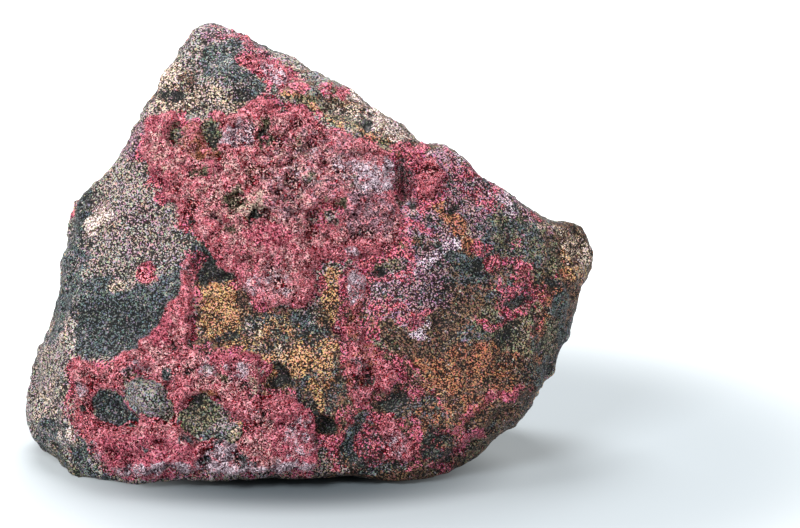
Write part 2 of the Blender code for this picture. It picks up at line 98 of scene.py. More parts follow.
class Seed(IntEnum):
    """Which set of random values each form draws on."""

    CHIPS = 11
    RIDGES = 21
    CRUMBS = 31
    GRIT = 41
    LEAVES = 51
    HIDDEN_SLATE = 61
    HIDDEN_RUST = 71
    HIDDEN_BLOOM = 81
    HALO = 91
    BIG_LUMPS = 101
    SMALL_LUMPS = 111
    GAPS = 121
    CRUST_SWELLS = 131
    RAGGED_EDGE = 141
    RIM = 151
    STAINS_ACROSS = 401
    STAINS_UP = 431


class Draw(IntEnum):
    """Which set of random values each part of the sprays draws on."""

    LEAN = 5
    SIZE = 8
    TONE = 13
    WOBBLE = 21
    LENGTH = 27


@dataclass(frozen=True)
class FaceLayout:
    """Where the display face's layout lies in the standing stone.

    Attributes:
        lean: How far the face leans back, in radians.
        across_of_origin: Across of the stone's origin, in millimetres.
        deep_of_origin: Depth of the stone's origin, in millimetres.
        floor: Height of the resting plane, in millimetres.
    """

    lean: float = math.radians(15.0)
    across_of_origin: float = -0.25
    deep_of_origin: float = 34.75
    floor: float = -1.5

    def lay_out(self, places: np.ndarray) -> np.ndarray:
        """Turns places of the stone into the layout.

        Args:
            places: Places in metres, one row each.

        Returns:
            Across, deep and up of each place, in millimetres.
        """
        x = places[:, 0] / MM + self.across_of_origin
        y = places[:, 1] / MM + self.deep_of_origin
        z = places[:, 2] / MM + self.floor
        up = y * math.sin(self.lean) + z * math.cos(self.lean)
        deep = y * math.cos(self.lean) - z * math.sin(self.lean)
        return np.stack([x, deep, up], axis=1)

    def stand_up(self, across: float, deep: float, up: float) -> Vector:
        """Turns one place of the layout, in millimetres, into the stone's, in metres."""
        y = deep * math.cos(self.lean) + up * math.sin(self.lean)
        z = up * math.cos(self.lean) - deep * math.sin(self.lean)
        return MM * Vector((across - self.across_of_origin, y - self.deep_of_origin, z - self.floor))

    def towards_viewer(self) -> np.ndarray:
        """The direction that the display face looks in."""
        return np.array([0.0, -math.cos(self.lean), math.sin(self.lean)])


LAYOUT = FaceLayout()


LATTICE_AXES = np.array([374761393, 668265263, 2147483629], dtype=np.int64)
LATTICE_SEED = 974634777
LATTICE_MIXERS = (1274126177, 668265263)
LATTICE_SHIFTS = (13, 15, 16)
LOW_32_BITS = 0xFFFFFFFF
LOW_24_BITS = 0xFFFFFF


def lattice_value(cells: np.ndarray, seed: int) -> np.ndarray:
    """A steady random value for each cell of a lattice.

    Args:
        cells: Whole-numbered cells, one row each.
        seed: Which set of values is meant.

    Returns:
        Values from 0 to 1.
    """
    mixed = cells.astype(np.int64) @ LATTICE_AXES
    mixed = (mixed + int(seed) * LATTICE_SEED) & LOW_32_BITS
    for shift, mixer in zip(LATTICE_SHIFTS, LATTICE_MIXERS):
        mixed = ((mixed ^ (mixed >> shift)) * mixer) & LOW_32_BITS
    return ((mixed ^ (mixed >> LATTICE_SHIFTS[-1])) & LOW_24_BITS) / float(LOW_24_BITS)


def smooth_noise(places: np.ndarray, length: float, seed: int) -> np.ndarray:
    """Soft random swells.

    Args:
        places: Places, one row each.
        length: The swells' length, in the places' unit.
        seed: Which set of swells is meant.

    Returns:
        Values from -1 to 1.
    """
    scaled = places / length
    cell = np.floor(scaled).astype(np.int64)
    part = scaled - cell
    part = part * part * part * (part * (part * 6 - 15) + 10)
    total = np.zeros(len(places))
    for corner in range(8):
        offset = np.array([corner & 1, (corner >> 1) & 1, (corner >> 2) & 1])
        weight = np.where(offset, part, 1 - part).prod(axis=1)
        total += weight * lattice_value(cell + offset, seed)
    return total * 2 - 1


def rough_noise(places: np.ndarray, length: float, layers: int, seed: int) -> np.ndarray:
    """Swells with finer swells on them, each half as long and high as the last.

    Args:
        places: Places, one row each.
        length: The longest swells' length.
        layers: How many sets of swells there are.
        seed: Which set is meant.

    Returns:
        Values that are mostly from -1 to 1.
    """
    total = np.zeros(len(places))
    for layer in range(layers):
        total += smooth_noise(places, length / 2**layer, seed + layer) / 2**layer
    return total


GRAIN_EDGE = 0.75  # How far from its middle a grain ends, as a share of its width.


def grains(places: np.ndarray, length: float, seed: int) -> np.ndarray:
    """A pack of rounded grains.

    Args:
        places: Places, one row each.
        length: The grains' width.
        seed: Which pack is meant.

    Returns:
        How near each place is to its grain's middle: 1 there, 0 or less at its edge.
    """
    scaled = places / length
    cell = np.floor(scaled).astype(np.int64)
    nearest = np.full(len(places), np.inf)
    for step in np.ndindex(3, 3, 3):
        other = cell + np.array(step) - 1
        jitter = np.stack([lattice_value(other, seed + axis) for axis in range(3)], axis=1)
        nearest = np.minimum(nearest, np.linalg.norm(other + jitter - scaled, axis=1))
    return 1 - nearest / GRAIN_EDGE


def eased(low: float, high: float, values: np.ndarray) -> np.ndarray:
    """Rises softly from 0 at low to 1 at high."""
    share = np.clip((values - low) / (high - low), 0, 1)
    return share * share * (3 - 2 * share)


def line_distances(line: tuple[Point, ...], across: np.ndarray, up: np.ndarray) -> np.ndarray:
    """How far places are from a line that runs through some points.

    Args:
        line: The points, across and up in millimetres.
        across: The places' across.
        up: The places' up.

    Returns:
        One distance for each place.
    """
    nearest = np.full(len(across), np.inf)
    for (x0, y0), (x1, y1) in zip(line, line[1:]):
        run = max((x1 - x0) ** 2 + (y1 - y0) ** 2, NEAREST_POINTS)
        share = np.clip(((across - x0) * (x1 - x0) + (up - y0) * (y1 - y0)) / run, 0, 1)
        away = np.hypot(across - x0 - share * (x1 - x0), up - y0 - share * (y1 - y0))
        nearest = np.minimum(nearest, away)
    return nearest


@dataclass(frozen=True)
class Spot:
    """A rounded patch on the display face.

    Attributes:
        across: Across of its middle, in millimetres.
        up: Up of its middle.
        half_across: Half its width.
        half_up: Half its height.
        strength: How much of the mineral there is. Past 1, it covers its grains more evenly.
        turn: Its turn in degrees, anticlockwise.
    """

    across: float
    up: float
    half_across: float
    half_up: float
    strength: float = 1.0
    turn: float = 0.0

    def inside(self, across: np.ndarray, up: np.ndarray) -> np.ndarray:
        """How far inside the spot each place is, in millimetres: below 0 outside.

        Args:
            across: The places' across.
            up: The places' up.

        Returns:
            One distance for each place.
        """
        turn = math.radians(self.turn)
        dx = across - self.across
        dy = up - self.up
        along = (dx * math.cos(turn) + dy * math.sin(turn)) / self.half_across
        aside = (dy * math.cos(turn) - dx * math.sin(turn)) / self.half_up
        reach = np.sqrt(along * along + aside * aside)
        return (1 - reach) * min(self.half_across, self.half_up)


@dataclass(frozen=True)
class Field:
    """A patch with corners on the display face.

    Attributes:
        corners: Its corners, across and up in millimetres.
        strength: How much of the mineral there is.
    """

    corners: tuple[Point, ...]
    strength: float = 1.0

    def inside(self, across: np.ndarray, up: np.ndarray) -> np.ndarray:
        """How far inside the field each place is, in millimetres: below 0 outside.

        Args:
            across: The places' across.
            up: The places' up.

        Returns:
            One distance for each place.
        """
        outline = self.corners + self.corners[:1]
        nearest = line_distances(outline, across, up)
        within = np.zeros(len(across), dtype=bool)
        for (x0, y0), (x1, y1) in zip(outline, outline[1:]):
            if y0 != y1:
                crossing = x0 + (up - y0) * (x1 - x0) / (y1 - y0)
                within ^= ((y0 > up) != (y1 > up)) & (across < crossing)
        return np.where(within, nearest, -nearest)


@dataclass(frozen=True)
class Vein:
    """A narrow run of a mineral along a line on the display face.

    Attributes:
        line: The points it runs through, across and up in millimetres.
        half_width: Half its width.
        strength: How much of the mineral there is.
    """

    line: tuple[Point, ...]
    half_width: float
    strength: float = 1.0

    def inside(self, across: np.ndarray, up: np.ndarray) -> np.ndarray:
        """How far inside the vein each place is, in millimetres: below 0 outside.

        Args:
            across: The places' across.
            up: The places' up.

        Returns:
            One distance for each place.
        """
        return self.half_width - line_distances(self.line, across, up)


Stain = Spot | Field | Vein


def spots(*rows: tuple[float, ...]) -> tuple[Spot, ...]:
    """Spots, one for each row of across, up, half width, half height, strength and turn."""
    return tuple(Spot(*row) for row in rows)


@dataclass(frozen=True)
class StainMap:
    """All patches of a piece, and how ragged their edges are.

    Attributes:
        stains: Each mineral's patches. Where some overlap, the strongest counts.
        wander: How far an edge wanders, in millimetres.
        wander_length: Over what length it wanders.
        wander_layers: How many layers of swells it wanders by.
        edge: How wide the change is from outside to inside.
    """

    stains: dict[Mineral, tuple[Stain, ...]]
    wander: float = 1.4
    wander_length: float = 4.0
    wander_layers: int = 3
    edge: float = 1.3

    def amounts(self, laid: np.ndarray) -> dict[Mineral, np.ndarray]:
        """How much there is of each mineral at each place.

        Args:
            laid: Places in the layout, one row each.

        Returns:
            For each mineral one value from 0 up for each place.
        """
        swells = [
            rough_noise(laid, self.wander_length, self.wander_layers, seed)
            for seed in (Seed.STAINS_ACROSS, Seed.STAINS_UP)
        ]
        across = laid[:, 0] + self.wander * swells[0]
        up = laid[:, 2] + self.wander * swells[1]
        found = {mineral: np.zeros(len(laid)) for mineral in Mineral}
        for mineral, stains in self.stains.items():
            for stain in stains:
                amount = stain.strength * eased(-self.edge, self.edge, stain.inside(across, up))
                found[mineral] = np.maximum(found[mineral], amount)
        return found


HOST_PATCHES: dict[Mineral, tuple[Stain, ...]] = {
    Mineral.UMBER: (
        Field(
            (
                (-24, 46), (-12, 40), (0, 33), (8, 44), (8, 60), (18, 70), (30, 68), (44, 54), (60, 54),
                (60, 10), (30, -4), (10, -2), (4, 8), (-4, 12), (-10, 24), (-22, 26),
            ),
            1.6,
        ),
        Field(((-2, 84), (20, 72), (24, 66), (14, 68), (2, 74), (-8, 78)), 0.9),
        *spots(
            (-27, 78.4, 5.5, 5.5, 0.75), (-38, 48, 14, 18, 0.25),
        ),
    ),
    Mineral.SLATE: (
        Field(
            (
                (-45, 41.4), (-40, 41.4), (-36.6, 39.2), (-31.6, 40.2), (-26, 41.4), (-24.5, 45), (-22, 42),
                (-25, 34), (-28, 28), (-37.2, 25.4), (-47.8, 26), (-46.8, 31), (-46, 37),
            ),
            1.7,
        ),
        Field(((-24, 50.5), (-21, 47.6), (-17, 43), (-19, 40), (-23, 42)), 1.4),
        Field(((34, 52.6), (38, 57), (47, 52), (47.6, 46), (42, 44), (37, 44.6)), 1.1),
        Field(((-21.6, 88), (-15, 90), (-13, 85), (-9.6, 80), (-11, 77), (-17, 79.6), (-22, 82)), 0.75),
        Field(((10.4, 15), (12.6, 14), (15, 9), (13, 7), (8, 4.6), (7, 8.6)), 1.3),
        Field(((22, 8), (28, 11), (34, 16), (44, 19), (42, 13), (33, 5), (24, 1)), 0.35),
        Field(((-45, 62), (-44.6, 46), (-46.8, 34), (-50, 28), (-56, 26), (-50, 48)), 0.85),
        Field(((-46, 12), (-43, 4), (-36, -1), (-50, 0), (-57, 8), (-54, 14)), 0.7),
        Field(
            (
                (20, 66), (30, 65), (40, 58), (50, 50), (50, 43), (42, 35), (30, 36), (14, 34), (13, 40),
                (20, 50),
            ),
            0.40,
        ),
        Field(((12.4, 41), (20, 42), (27, 41), (27, 36), (20, 34), (13, 35)), 0.25),
        Field(((-9, 34), (4, 34), (7, 20), (5, 12), (0, 12), (-9, 24)), 0.5),
        Field(((44, 30), (49, 30), (50.4, 22), (46, 17), (42.6, 20)), 0.6),
        *spots(
            (-38.8, 15.4, 6.4, 3.2, 1.5, -34), (-22.4, 14.2, 4.4, 4.4, 0.9, -10), (-17.6, 7.6, 4.4, 3.0, 0.9),
            (-17.8, 30.8, 2.2, 2.4, 1.5), (-8.2, 32.8, 3.2, 1.2, 1.4), (-1.6, 32.2, 2.4, 2.4, 1.4),
            (-0.2, 21, 2.0, 1.2, 1.3), (-11.5, 27, 3.0, 2.2, 0.8, 20), (31.8, 43.8, 4.8, 2.4, 1.3, -10),
            (40.2, 38.6, 4.2, 2.6, 1.0, -20), (36.6, 58.4, 6, 1.8, 0.6, -34), (51.2, 31.4, 1.8, 7.6, 1.1, 12),
            (34, 30, 5, 2, 0.5, 10), (26, 58, 4, 4, 0.45, -30), (-30, 62, 6, 3, 0.3, 60),
            (23, 15, 6, 4.6, 0.5), (13, 5.6, 7, 4, 0.7),
        ),
    ),
    # Painted shade: black in the rock's cracks, slits and pits, which are also sunk.
    Mineral.BLACK: (
        Field(((30, 3.4), (36, 8), (42, 14), (44, 18), (47, 20), (42, 11), (34, 3)), 0.55),
        *spots(
            (-23, 15.4, 2.4, 2.0, 0.5, -10), (47.4, 25, 2.2, 6.0, 0.46, 14), (13, 5.6, 7, 3.4, 0.42),
            (12.2, 73.2, 1.0, 0.9, 0.9), (-20.2, 39.6, 1.8, 1.6, 0.8), (-15.8, 30.4, 1.8, 2.0, 0.62),
            (-11.4, 31.6, 2.6, 2.6, 0.42), (25.4, 8, 4.2, 3.4, 0.6), (32, 15, 3.4, 2.4, 0.42),
            (-19, 42.6, 4.4, 2.4, 0.8, -30), (-6, 22, 2.0, 2.3, 0.9), (0.4, 16.2, 0.8, 1.4, 0.9),
            (3.8, 11.6, 1.6, 1.9, 0.9), (11.4, 22.2, 1.4, 1.9, 0.9), (16.6, 16.8, 3.0, 1.5, 0.9, 10),
            (18.5, 61.4, 0.8, 3.2, 0.95, 6), (29, 55.6, 0.9, 0.9, 1.2), (14.2, 43, 2.2, 1.1),
            (12, 73.6, 0.8, 0.8, 0.9), (48.6, 39.4, 2.0, 2.0, 0.6, 50), (41.4, 37.4, 2.6, 1.0, 0.9, -20),
            (38.0, 29.6, 3.4, 1.4, 0.6, 20), (34, 43.4, 2.0, 1.0, 0.7, -20), (-42, 42.4, 1.4, 1.8, 0.5),
            (-27.5, 78.6, 3.4, 1.8, 0.6), (-14, 77.6, 3.0, 1.2, 0.6, -10), (-17.4, 30.2, 1.0, 1.6, 0.6),
            (-22.4, 17, 2.0, 1.4, 0.7), (-19.4, 69.8, 1.6, 2.2, 0.66), (-26.6, 70.2, 1.6, 1.4, 0.5),
        ),
    ),
    Mineral.PEBBLE: (
        *spots(
            (-31.6, 16.8, 5.0, 3.4, 1.6, -32), (-14.8, 10.6, 2.4, 2.1, 1.2), (1.0, 80.4, 2.4, 2.0, 0.9, -30),
        ),
    ),
    Mineral.RUST: (
        Field(((22, 8), (28, 11), (34, 16), (44, 19), (42, 13), (33, 5), (24, 1)), 0.3),
        Vein(((26.6, 55.8), (29.4, 52), (32, 48.4)), 1.7, 1.1),
        Vein(((51.4, 44), (49.4, 38), (46.8, 32), (45.4, 25)), 0.8, 0.9),
        *spots(
            (32, 24, 11, 4.8, 0.55, 6), (24.4, 24.4, 2.4, 1.6, 1.1), (38.4, 19.8, 3.0, 1.4, 1.0, 20),
            (28, 14, 9, 4.4, 0.5, 10), (46.4, 37, 1.6, 3.2, 0.7, 30), (12, 70, 2.4, 1.2, 0.7, -30),
            (-33, 36.6, 3, 2, 0.25), (14, 58, 3.0, 3.4, 0.4),
        ),
    ),
    Mineral.MAUVE: (
        Field(((14.8, 44.4), (21, 46.8), (26.4, 48.4), (28.4, 43), (25, 37), (20, 34.6), (13.6, 36.6)), 1.25),
        Field(((20, 66), (27, 67), (40, 58), (48, 51), (42, 46), (34, 50), (28, 47), (18, 50)), 1.15),
        Vein(((-21, 91.4), (-14, 90), (-9, 86.6)), 1.6, 1.0),
        *spots(
            (18, 38, 10, 6, 0.7), (12, 56, 6, 6, 0.7), (-36, 69, 3, 6, 0.8, 60), (-34, 51, 8, 7, 0.35),
            (-17.4, 4.6, 5, 3, 0.8),
        ),
    ),
    Mineral.OLIVE: (
        Field(((34, 54), (40, 57), (50, 50), (51, 42), (42, 42), (36, 46)), 0.45),
        Vein(((-6, 79.2), (0, 76.6), (6, 73.4), (12, 70.4), (18, 68.4)), 1.5, 0.85),
        *spots(
            (16, 45.6, 2.3, 3.8, 1.0, 10), (39.4, 32.6, 6.0, 3.8, 0.85, 10), (14.4, 27.6, 5.0, 3.4, 0.5, -20),
            (47, 32, 2.6, 8.0, 0.7, 14), (49.4, 43.2, 2.4, 2.6, 1.1), (12, 69, 6, 1.6, 0.6, -30),
            (40, 27, 7, 3, 0.5, 20), (-51, 40, 2, 9, 0.4, -8), (-22.6, 14.4, 4.4, 4.4, 0.9),
            (-14.8, 10.6, 2.4, 2.1, 0.6), (-19.6, 70.4, 2.2, 3.0, 1.1), (-26.6, 70.6, 2.4, 2.2),
            (33, 7, 7, 2.4, 0.6, 40), (-48, 3, 7, 3, 0.5, -40),
        ),
    ),
    Mineral.LILAC: (
        Field(((7, 46), (14, 46), (24, 43), (30, 40), (28, 34), (22, 31.6), (14, 30.6), (8, 33)), 0.24),
        Vein(((17.6, 41.2), (22, 43.6), (26, 46.4), (29.4, 48.6)), 1.5, 0.62),
        Vein(((-46, 43), (-45.4, 48), (-44.6, 55)), 0.5, 0.4),
        *spots(
            (8.8, 40.6, 1.5, 5.2, 0.7), (26.6, 46.8, 2.6, 0.9, 0.7, 20), (28.4, 37, 4, 3.4, 0.26),
            (13, 37, 4, 4, 0.3), (40, 55, 3, 1.6, 0.5, -34), (16, 63, 3, 3, 0.5),
            (22.4, 31, 2.7, 2.0, 0.85, 20), (39.4, 32.6, 5, 3, 0.3), (28, 66.4, 7, 1.0, 0.7, -28),
            (37, 58.8, 6, 0.9, 0.6, -38), (16, 61, 4.0, 3.0, 0.4), (-17.6, 4.2, 4.8, 2.8, 0.6),
        ),
    ),
    Mineral.TAN: (
        *spots(
            (-21, 77, 8.4, 2.4, 0.75, -8), (-30, 73, 2.6, 3.6, 0.5, 30), (-42.2, 53.4, 2.1, 2.9, 1.6, -20),
            (-39, 39.8, 1.6, 1.1, 1.2), (-53, 18, 3.0, 9.0, 0.42, -12), (-49, 28, 1.2, 7.0, 0.4, -8),
            (-10.8, 31.2, 2.6, 2.8, 0.7), (-5.2, 26.6, 4.0, 2.2, 0.7), (-14.6, 10.6, 2.4, 2.4, 0.45),
            (31.8, 49.8, 1.1, 1.7, 1.3), (48.6, 51.4, 2.2, 0.9, 0.9, -20), (53.4, 46.8, 2.8, 4.6, 0.6, 10),
            (-9, 73.2, 8, 2.0, 0.5, -20), (43, 33, 4, 2.4, 0.3, 20), (8, 75.4, 3, 1.2, 0.8, -30),
            (-28, 80, 3, 5),
        ),
    ),
    Mineral.CHALK: (
        Vein(((7.4, 78.6), (12, 75.4), (17, 72), (20.4, 70)), 1.1, 0.85),
        Vein(((-46.4, 35), (-46.8, 31), (-48, 26.6), (-49.4, 22.4)), 0.6, 0.62),
        *spots(
            (-42.2, 53.4, 2.4, 3.2, 1.5, -20), (16, 71, 3, 1.1, 1.3, -34), (-28.4, 83.4, 1.6, 1.6, 0.6),
            (22.7, 55.2, 1.2, 1.0, 0.45), (-48.8, 9.6, 1.6, 3.0, 0.55),
        ),
    ),
    Mineral.OCHRE: (
        Vein(((-5, 78.2), (0, 76.2), (5, 73.4), (10, 71)), 1.1, 0.6),
        *spots(
            (-16.2, 34.4, 2.5, 5.8, 1.3), (-20.2, 37.2, 2.4, 2.4, 1.2), (-2.4, 25.6, 3.4, 2.8, 0.8),
            (2.4, 19.4, 2.4, 6.0, 0.6, -8), (4.2, 38.8, 1.9, 5.4, 1.1, 6), (-8, 28, 12, 7, 0.42, -12),
            (14.5, 69.6, 3.4, 1.8, 0.6, -20), (26, 21, 5, 3.4, 0.5, 14), (52.4, 44, 2.4, 5.0, 0.5, 20),
            (46.5, 34, 1.4, 6.0, 0.4, 14), (-13.6, 12.6, 1.6, 1.2, 0.5), (-9, 19, 1.4, 2.6, 0.8),
            (-20.4, 31.4, 2.4, 3.0, 0.9), (2.8, 24, 3, 5, 0.62), (-21.4, 16.0, 3.0, 2.0, 0.42),
        ),
    ),
    Mineral.ROSE: (
        Vein(((14, 52), (19, 53.4), (24, 50.4)), 0.9, 0.8),
        Vein(((12.6, 50.4), (12.2, 44), (14.4, 40.6), (19.4, 41.6), (20.2, 47.4), (18, 50.8)), 0.9, 1.1),
        Vein(((37.4, 44.4), (41, 45), (43.6, 43), (43, 40), (40.2, 38.6), (38, 40.6)), 0.8, 1.3),
        Vein(((44.4, 39.4), (43.8, 36.2), (41.4, 34), (38, 31.6), (34, 32.4)), 0.6, 0.9),
        Vein(((-19, 91.4), (-14, 89.6), (-10.4, 86)), 1.2, 0.7),
        Vein(((22, 7.4), (28, 11.6), (34.4, 16.6), (42, 19.4)), 0.8, 1.0),
        Vein(((20, 24), (24.4, 19), (28, 13)), 0.7, 0.7),
        Vein(((50, 42.4), (47.4, 38), (45, 31)), 1.8, 0.44),
        Vein(((-37, 18), (-34.4, 15.4), (-33.2, 12.4)), 0.5, 0.8),
        *spots(
            (20, 67, 2.6, 2.0, 1.3), (20, 19, 2, 2, 0.9), (11.5, 53.4, 7.4, 7.0, 0.44),
            (9.6, 43.6, 3.0, 6.4, 1.0, -16), (15, 34.8, 6.6, 2.4, 0.5, 20), (20.6, 33.2, 2.4, 1.6, 1.3, 20),
            (23.4, 60.6, 4.6, 6.0, 0.7, 20), (31, 60.5, 11, 4.6, 0.42, -36), (24, 51.6, 6, 4, 0.32),
            (35, 47.6, 2.0, 1.6, 1.5), (21.4, 33.2, 2.4, 1.4, 1.2, 20), (45.6, 54.6, 1.6, 1.0, 0.9, -30),
            (40, 40, 6, 7, 0.42, 30), (43, 47, 4, 3, 0.35, 30), (-33, 42.4, 1.5, 1.5, 1.5),
            (-8, 83.6, 7.0, 2.4, 0.9, -36), (5.6, 79, 2.0, 1.6, 0.8, -34), (16, 9, 7, 6, 0.7),
            (12.4, 25, 4, 10, 0.6, 22), (30, 9.4, 2.4, 3.4, 0.6, -10), (33.6, 10.6, 1.6, 1.6, 0.9),
            (25, 5.6, 3.0, 4.0, 0.55, 30), (-47.4, 14, 1.6, 9.4, 0.6, -4), (19.2, 61.4, 2.6, 5.0, 1.2, 6),
            (-23.2, 43.6, 1.8, 3.4, 1.4),
        ),
    ),
}
HOST_STAINS = StainMap(HOST_PATCHES)

CRUST_PATCHES: dict[Mineral, tuple[Stain, ...]] = {
    Mineral.ROSE: (
        *spots(
            (-33, 5.6, 11, 5), (0, 9, 8, 8, 0.7), (-14, 24, 8, 3, 0.6), (-30, 70, 5, 5, 0.5),
            (-12, 48, 9, 8, 0.4), (5.4, 31, 2.6, 3, 1.2), (4.4, 7, 2.2, 4, 1.1), (20.6, 66, 2.4, 2.6, 1.2),
            (-29.8, 31, 2.4, 3, 1.2), (-31, 60, 3, 4), (-8, 50, 5, 2.4, 0.9), (-20, 63, 2.4, 2.4, 0.9),
        ),
    ),
    Mineral.TAN: (
        *spots(
            (-12, 60, 12, 9, 0.3), (-30, 66, 4, 4, 0.34), (-26, 18, 14, 6, 0.26), (-12, 55, 2.6, 1.6, 0.75),
            (-11, 20.6, 0.9, 2.4, 0.85), (-14.6, 57.2, 2.2, 2.6, 0.62), (-10.4, 56.2, 2.0, 1.8, 0.55),
            (-20.4, 72.4, 1.4, 2.2, 0.6), (-25, 66, 2.6, 2.2, 0.35),
        ),
    ),
    Mineral.OLIVE: (
        *spots(
            (-10, 60, 14, 12, 0.26), (0, 66, 10, 7, 0.28), (-17.6, 21, 2.2, 1.4, 0.5), (0, 61, 1.4, 1.2, 0.5),
            (-14.8, 57, 2.6, 3.0, 0.62), (-9, 70.4, 1.4, 3.6, 0.8, 6), (-18.8, 70, 1.4, 2.6, 0.8),
            (-26.8, 70.6, 2.0, 2.4, 0.7), (8.4, 60.4, 0.8, 1.8, 0.9), (2.6, 56.2, 1.0, 1.4, 0.9),
            (6.2, 55.4, 1.8, 2.0, 0.8), (-3.4, 68.6, 2.0, 1.2, 0.5), (-22.2, 62.6, 2.2, 1.4, 0.5, 30),
            (-36.4, 22.2, 1.8, 1.1, 0.8), (-15.6, 51, 3, 1.4, 0.4, 10), (-12, 47, 2.4, 1.4, 0.35, 10),
            (13, 52, 3, 3, 0.25), (-19, 23.4, 2.6, 1.6, 0.4),
        ),
    ),
    Mineral.SLATE: (
        *spots(
            (4, 56, 10, 8, 0.3), (-24, 12, 24, 14, 0.16), (8, 26, 6, 14, 0.34), (-20, 6, 1.8, 2.6, 0.5),
            (-36, 19, 1.8, 1.4, 0.8), (-9.8, 14.6, 2.0, 1.8, 0.55), (-43.6, 8.2, 1.4, 1.2, 0.6),
            (-24, 9.6, 2.2, 1.4, 0.5), (-18.6, 10.2, 2.2, 2.4, 0.7), (-13, 5.4, 2.2, 1.6, 0.5),
            (-33.4, 8, 2.2, 1.0, 0.5), (-28, 22.4, 2.0, 1.4, 0.6),
        ),
    ),
    Mineral.MAUVE: (
        *spots(
            (2, 62, 12, 10, 0.4), (-20, 8, 20, 10, 0.28), (-6, 55, 4, 3, 0.45), (-17, 61, 4, 3, 0.3),
            (12, 54.6, 5.4, 5.4, 0.6), (-7, 44, 4, 3, 0.35),
        ),
    ),
    Mineral.RUST: (
        *spots(
            (-22, 69, 4, 4.6, 0.5), (-8, 66, 8, 5, 0.3), (8, 26, 6, 14, 0.36), (-19.6, 18, 2.4, 1.5, 0.65),
        ),
    ),
    Mineral.LILAC: (
        *spots(
            (-46.2, 19.2, 1.8, 1.4, 0.6), (-16.6, 7.2, 3.2, 2.2, 0.8), (-12, 3.0, 32, 1.8),
            (-14.4, 70.4, 3.6, 3.0, 0.66), (15.6, 63, 3, 2.4, 0.8), (0, 67.4, 3, 2.2, 0.38),
            (8, 63, 2.4, 2.4, 0.5), (-4, 71, 2, 1.6, 0.35), (8.2, 41.6, 3, 5.4, 0.7),
            (5.0, 31.6, 1.2, 1.2, 0.4), (-23.8, 44, 1.6, 2.2, 0.35), (13, 61.4, 4.8, 3.2, 0.75, 10),
            (5.6, 64, 1.6, 1.2, 0.8), (-3, 61, 5, 4, 0.35), (-8, 40, 5, 3.4, 0.4),
            (-17.6, 4.4, 4.8, 2.8, 0.6), (-35, 22.6, 3, 2.2, 0.6, 20), (-2, 10, 3.4, 4.6, 0.38),
            (-20.4, 23.2, 2, 1.8, 0.75), (-14, 22.6, 3, 2.2, 0.5), (-44, 7, 2.6, 2.6, 0.5),
            (-30, 5, 4, 2, 0.3), (-7, 82.4, 3.4, 1.6, 0.6, -30), (27.6, 64.6, 2.6, 1.0, 0.7, -20),
            (17, 8.4, 3, 3.4, 0.4),
        ),
    ),
    # Painted shade: black in the crust's holes, which are also sunk.
    Mineral.BLACK: (
        *spots(
            (-24, 23.2, 1.4, 1.2, 0.5), (-12, 19, 1.3, 1.3, 0.5), (-28, 27.4, 1.8, 1.2, 0.5, 20),
            (-24, 67, 1.8, 1.2, 0.42, 20), (-24, 51.8, 1.3, 1.8), (-19.4, 53.2, 0.9, 0.8),
            (-10.4, 54.2, 1.9, 1.2, 1.0, 20), (-9, 70.2, 0.7, 2.6, 0.6, 5), (-46.6, 20.4, 0.9, 0.8, 0.9),
            (-46.8, 15, 0.9, 1.0, 0.8), (11.4, 22, 0.9, 1.6, 0.7), (3, 72, 1.4, 0.7, 0.5, -30),
            (-30.6, 62, 0.7, 1.4, 0.5, 20), (-3.6, 65, 0.6, 0.9, 0.6),
        ),
    ),
    Mineral.BARE: (
        *spots(
            (-38.8, 15.4, 5.8, 2.5, 1.0, -34), (-31.6, 16.8, 5.3, 3.7, 1.0, -32), (-22.4, 14.2, 3.8, 4.2),
            (-14.8, 10.6, 2.5, 2.2), (-31.6, 33.0, 3.4, 1.8, 1.0, 50), (-36.4, 20.4, 1.4, 1.0),
            (-26.8, 70.6, 1.6, 1.6), (-19.4, 70.2, 1.8, 2.9), (-18, 52.8, 1.0, 1.0),
        ),
    ),
}
CRUST_STAINS = StainMap(CRUST_PATCHES, wander=0.9, wander_length=2.0, edge=0.7)


def mesh_places(mesh: bpy.types.Mesh) -> np.ndarray:
    """The mesh's vertices in metres, one row each."""
    flat = np.empty(len(mesh.vertices) * 3)
    mesh.vertices.foreach_get("co", flat)
    return flat.reshape(-1, 3)


def mesh_normals(mesh: bpy.types.Mesh) -> np.ndarray:
    """The directions that the mesh's vertices look in, one row each."""
    flat = np.empty(len(mesh.vertices) * 3)
    mesh.vertex_normals.foreach_get("vector", flat)
    return flat.reshape(-1, 3)


def set_places(mesh: bpy.types.Mesh, places: np.ndarray) -> None:
    """Moves the mesh's vertices to these places, in metres."""
    mesh.vertices.foreach_set("co", places.reshape(-1))
    mesh.update()


def set_amount(mesh: bpy.types.Mesh, name: str, values: np.ndarray) -> None:
    """Keeps one value for each vertex under this name.

    Args:
        mesh: The mesh.
        name: The attribute's name.
        values: One value for each vertex.
    """
    layer = mesh.attributes.new(name, "FLOAT", "POINT")
    layer.data.foreach_set("value", values.astype(np.float32))


def settled_mesh(obj: bpy.types.Object) -> bpy.types.Mesh:
    """The object's mesh with its modifiers worked in."""
    bpy.context.view_layer.update()
    graph = bpy.context.evaluated_depsgraph_get()
    return bpy.data.meshes.new_from_object(obj.evaluated_get(graph))


def solid_surface(nodes: list[str]) -> BVHTree:
    """The outer surface of some of the frame's solids.

    Args:
        nodes: The solids' names.

    Returns:
        Their faces, for measuring distances.
    """
    places: list[Vector] = []
    faces: list[tuple[int, ...]] = []
    for node in nodes:
        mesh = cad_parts[node].data
        faces += [tuple(corner + len(places) for corner in face.vertices) for face in mesh.polygons]
        places += [vert.co.copy() for vert in mesh.vertices]
    return BVHTree.FromPolygons(places, faces)


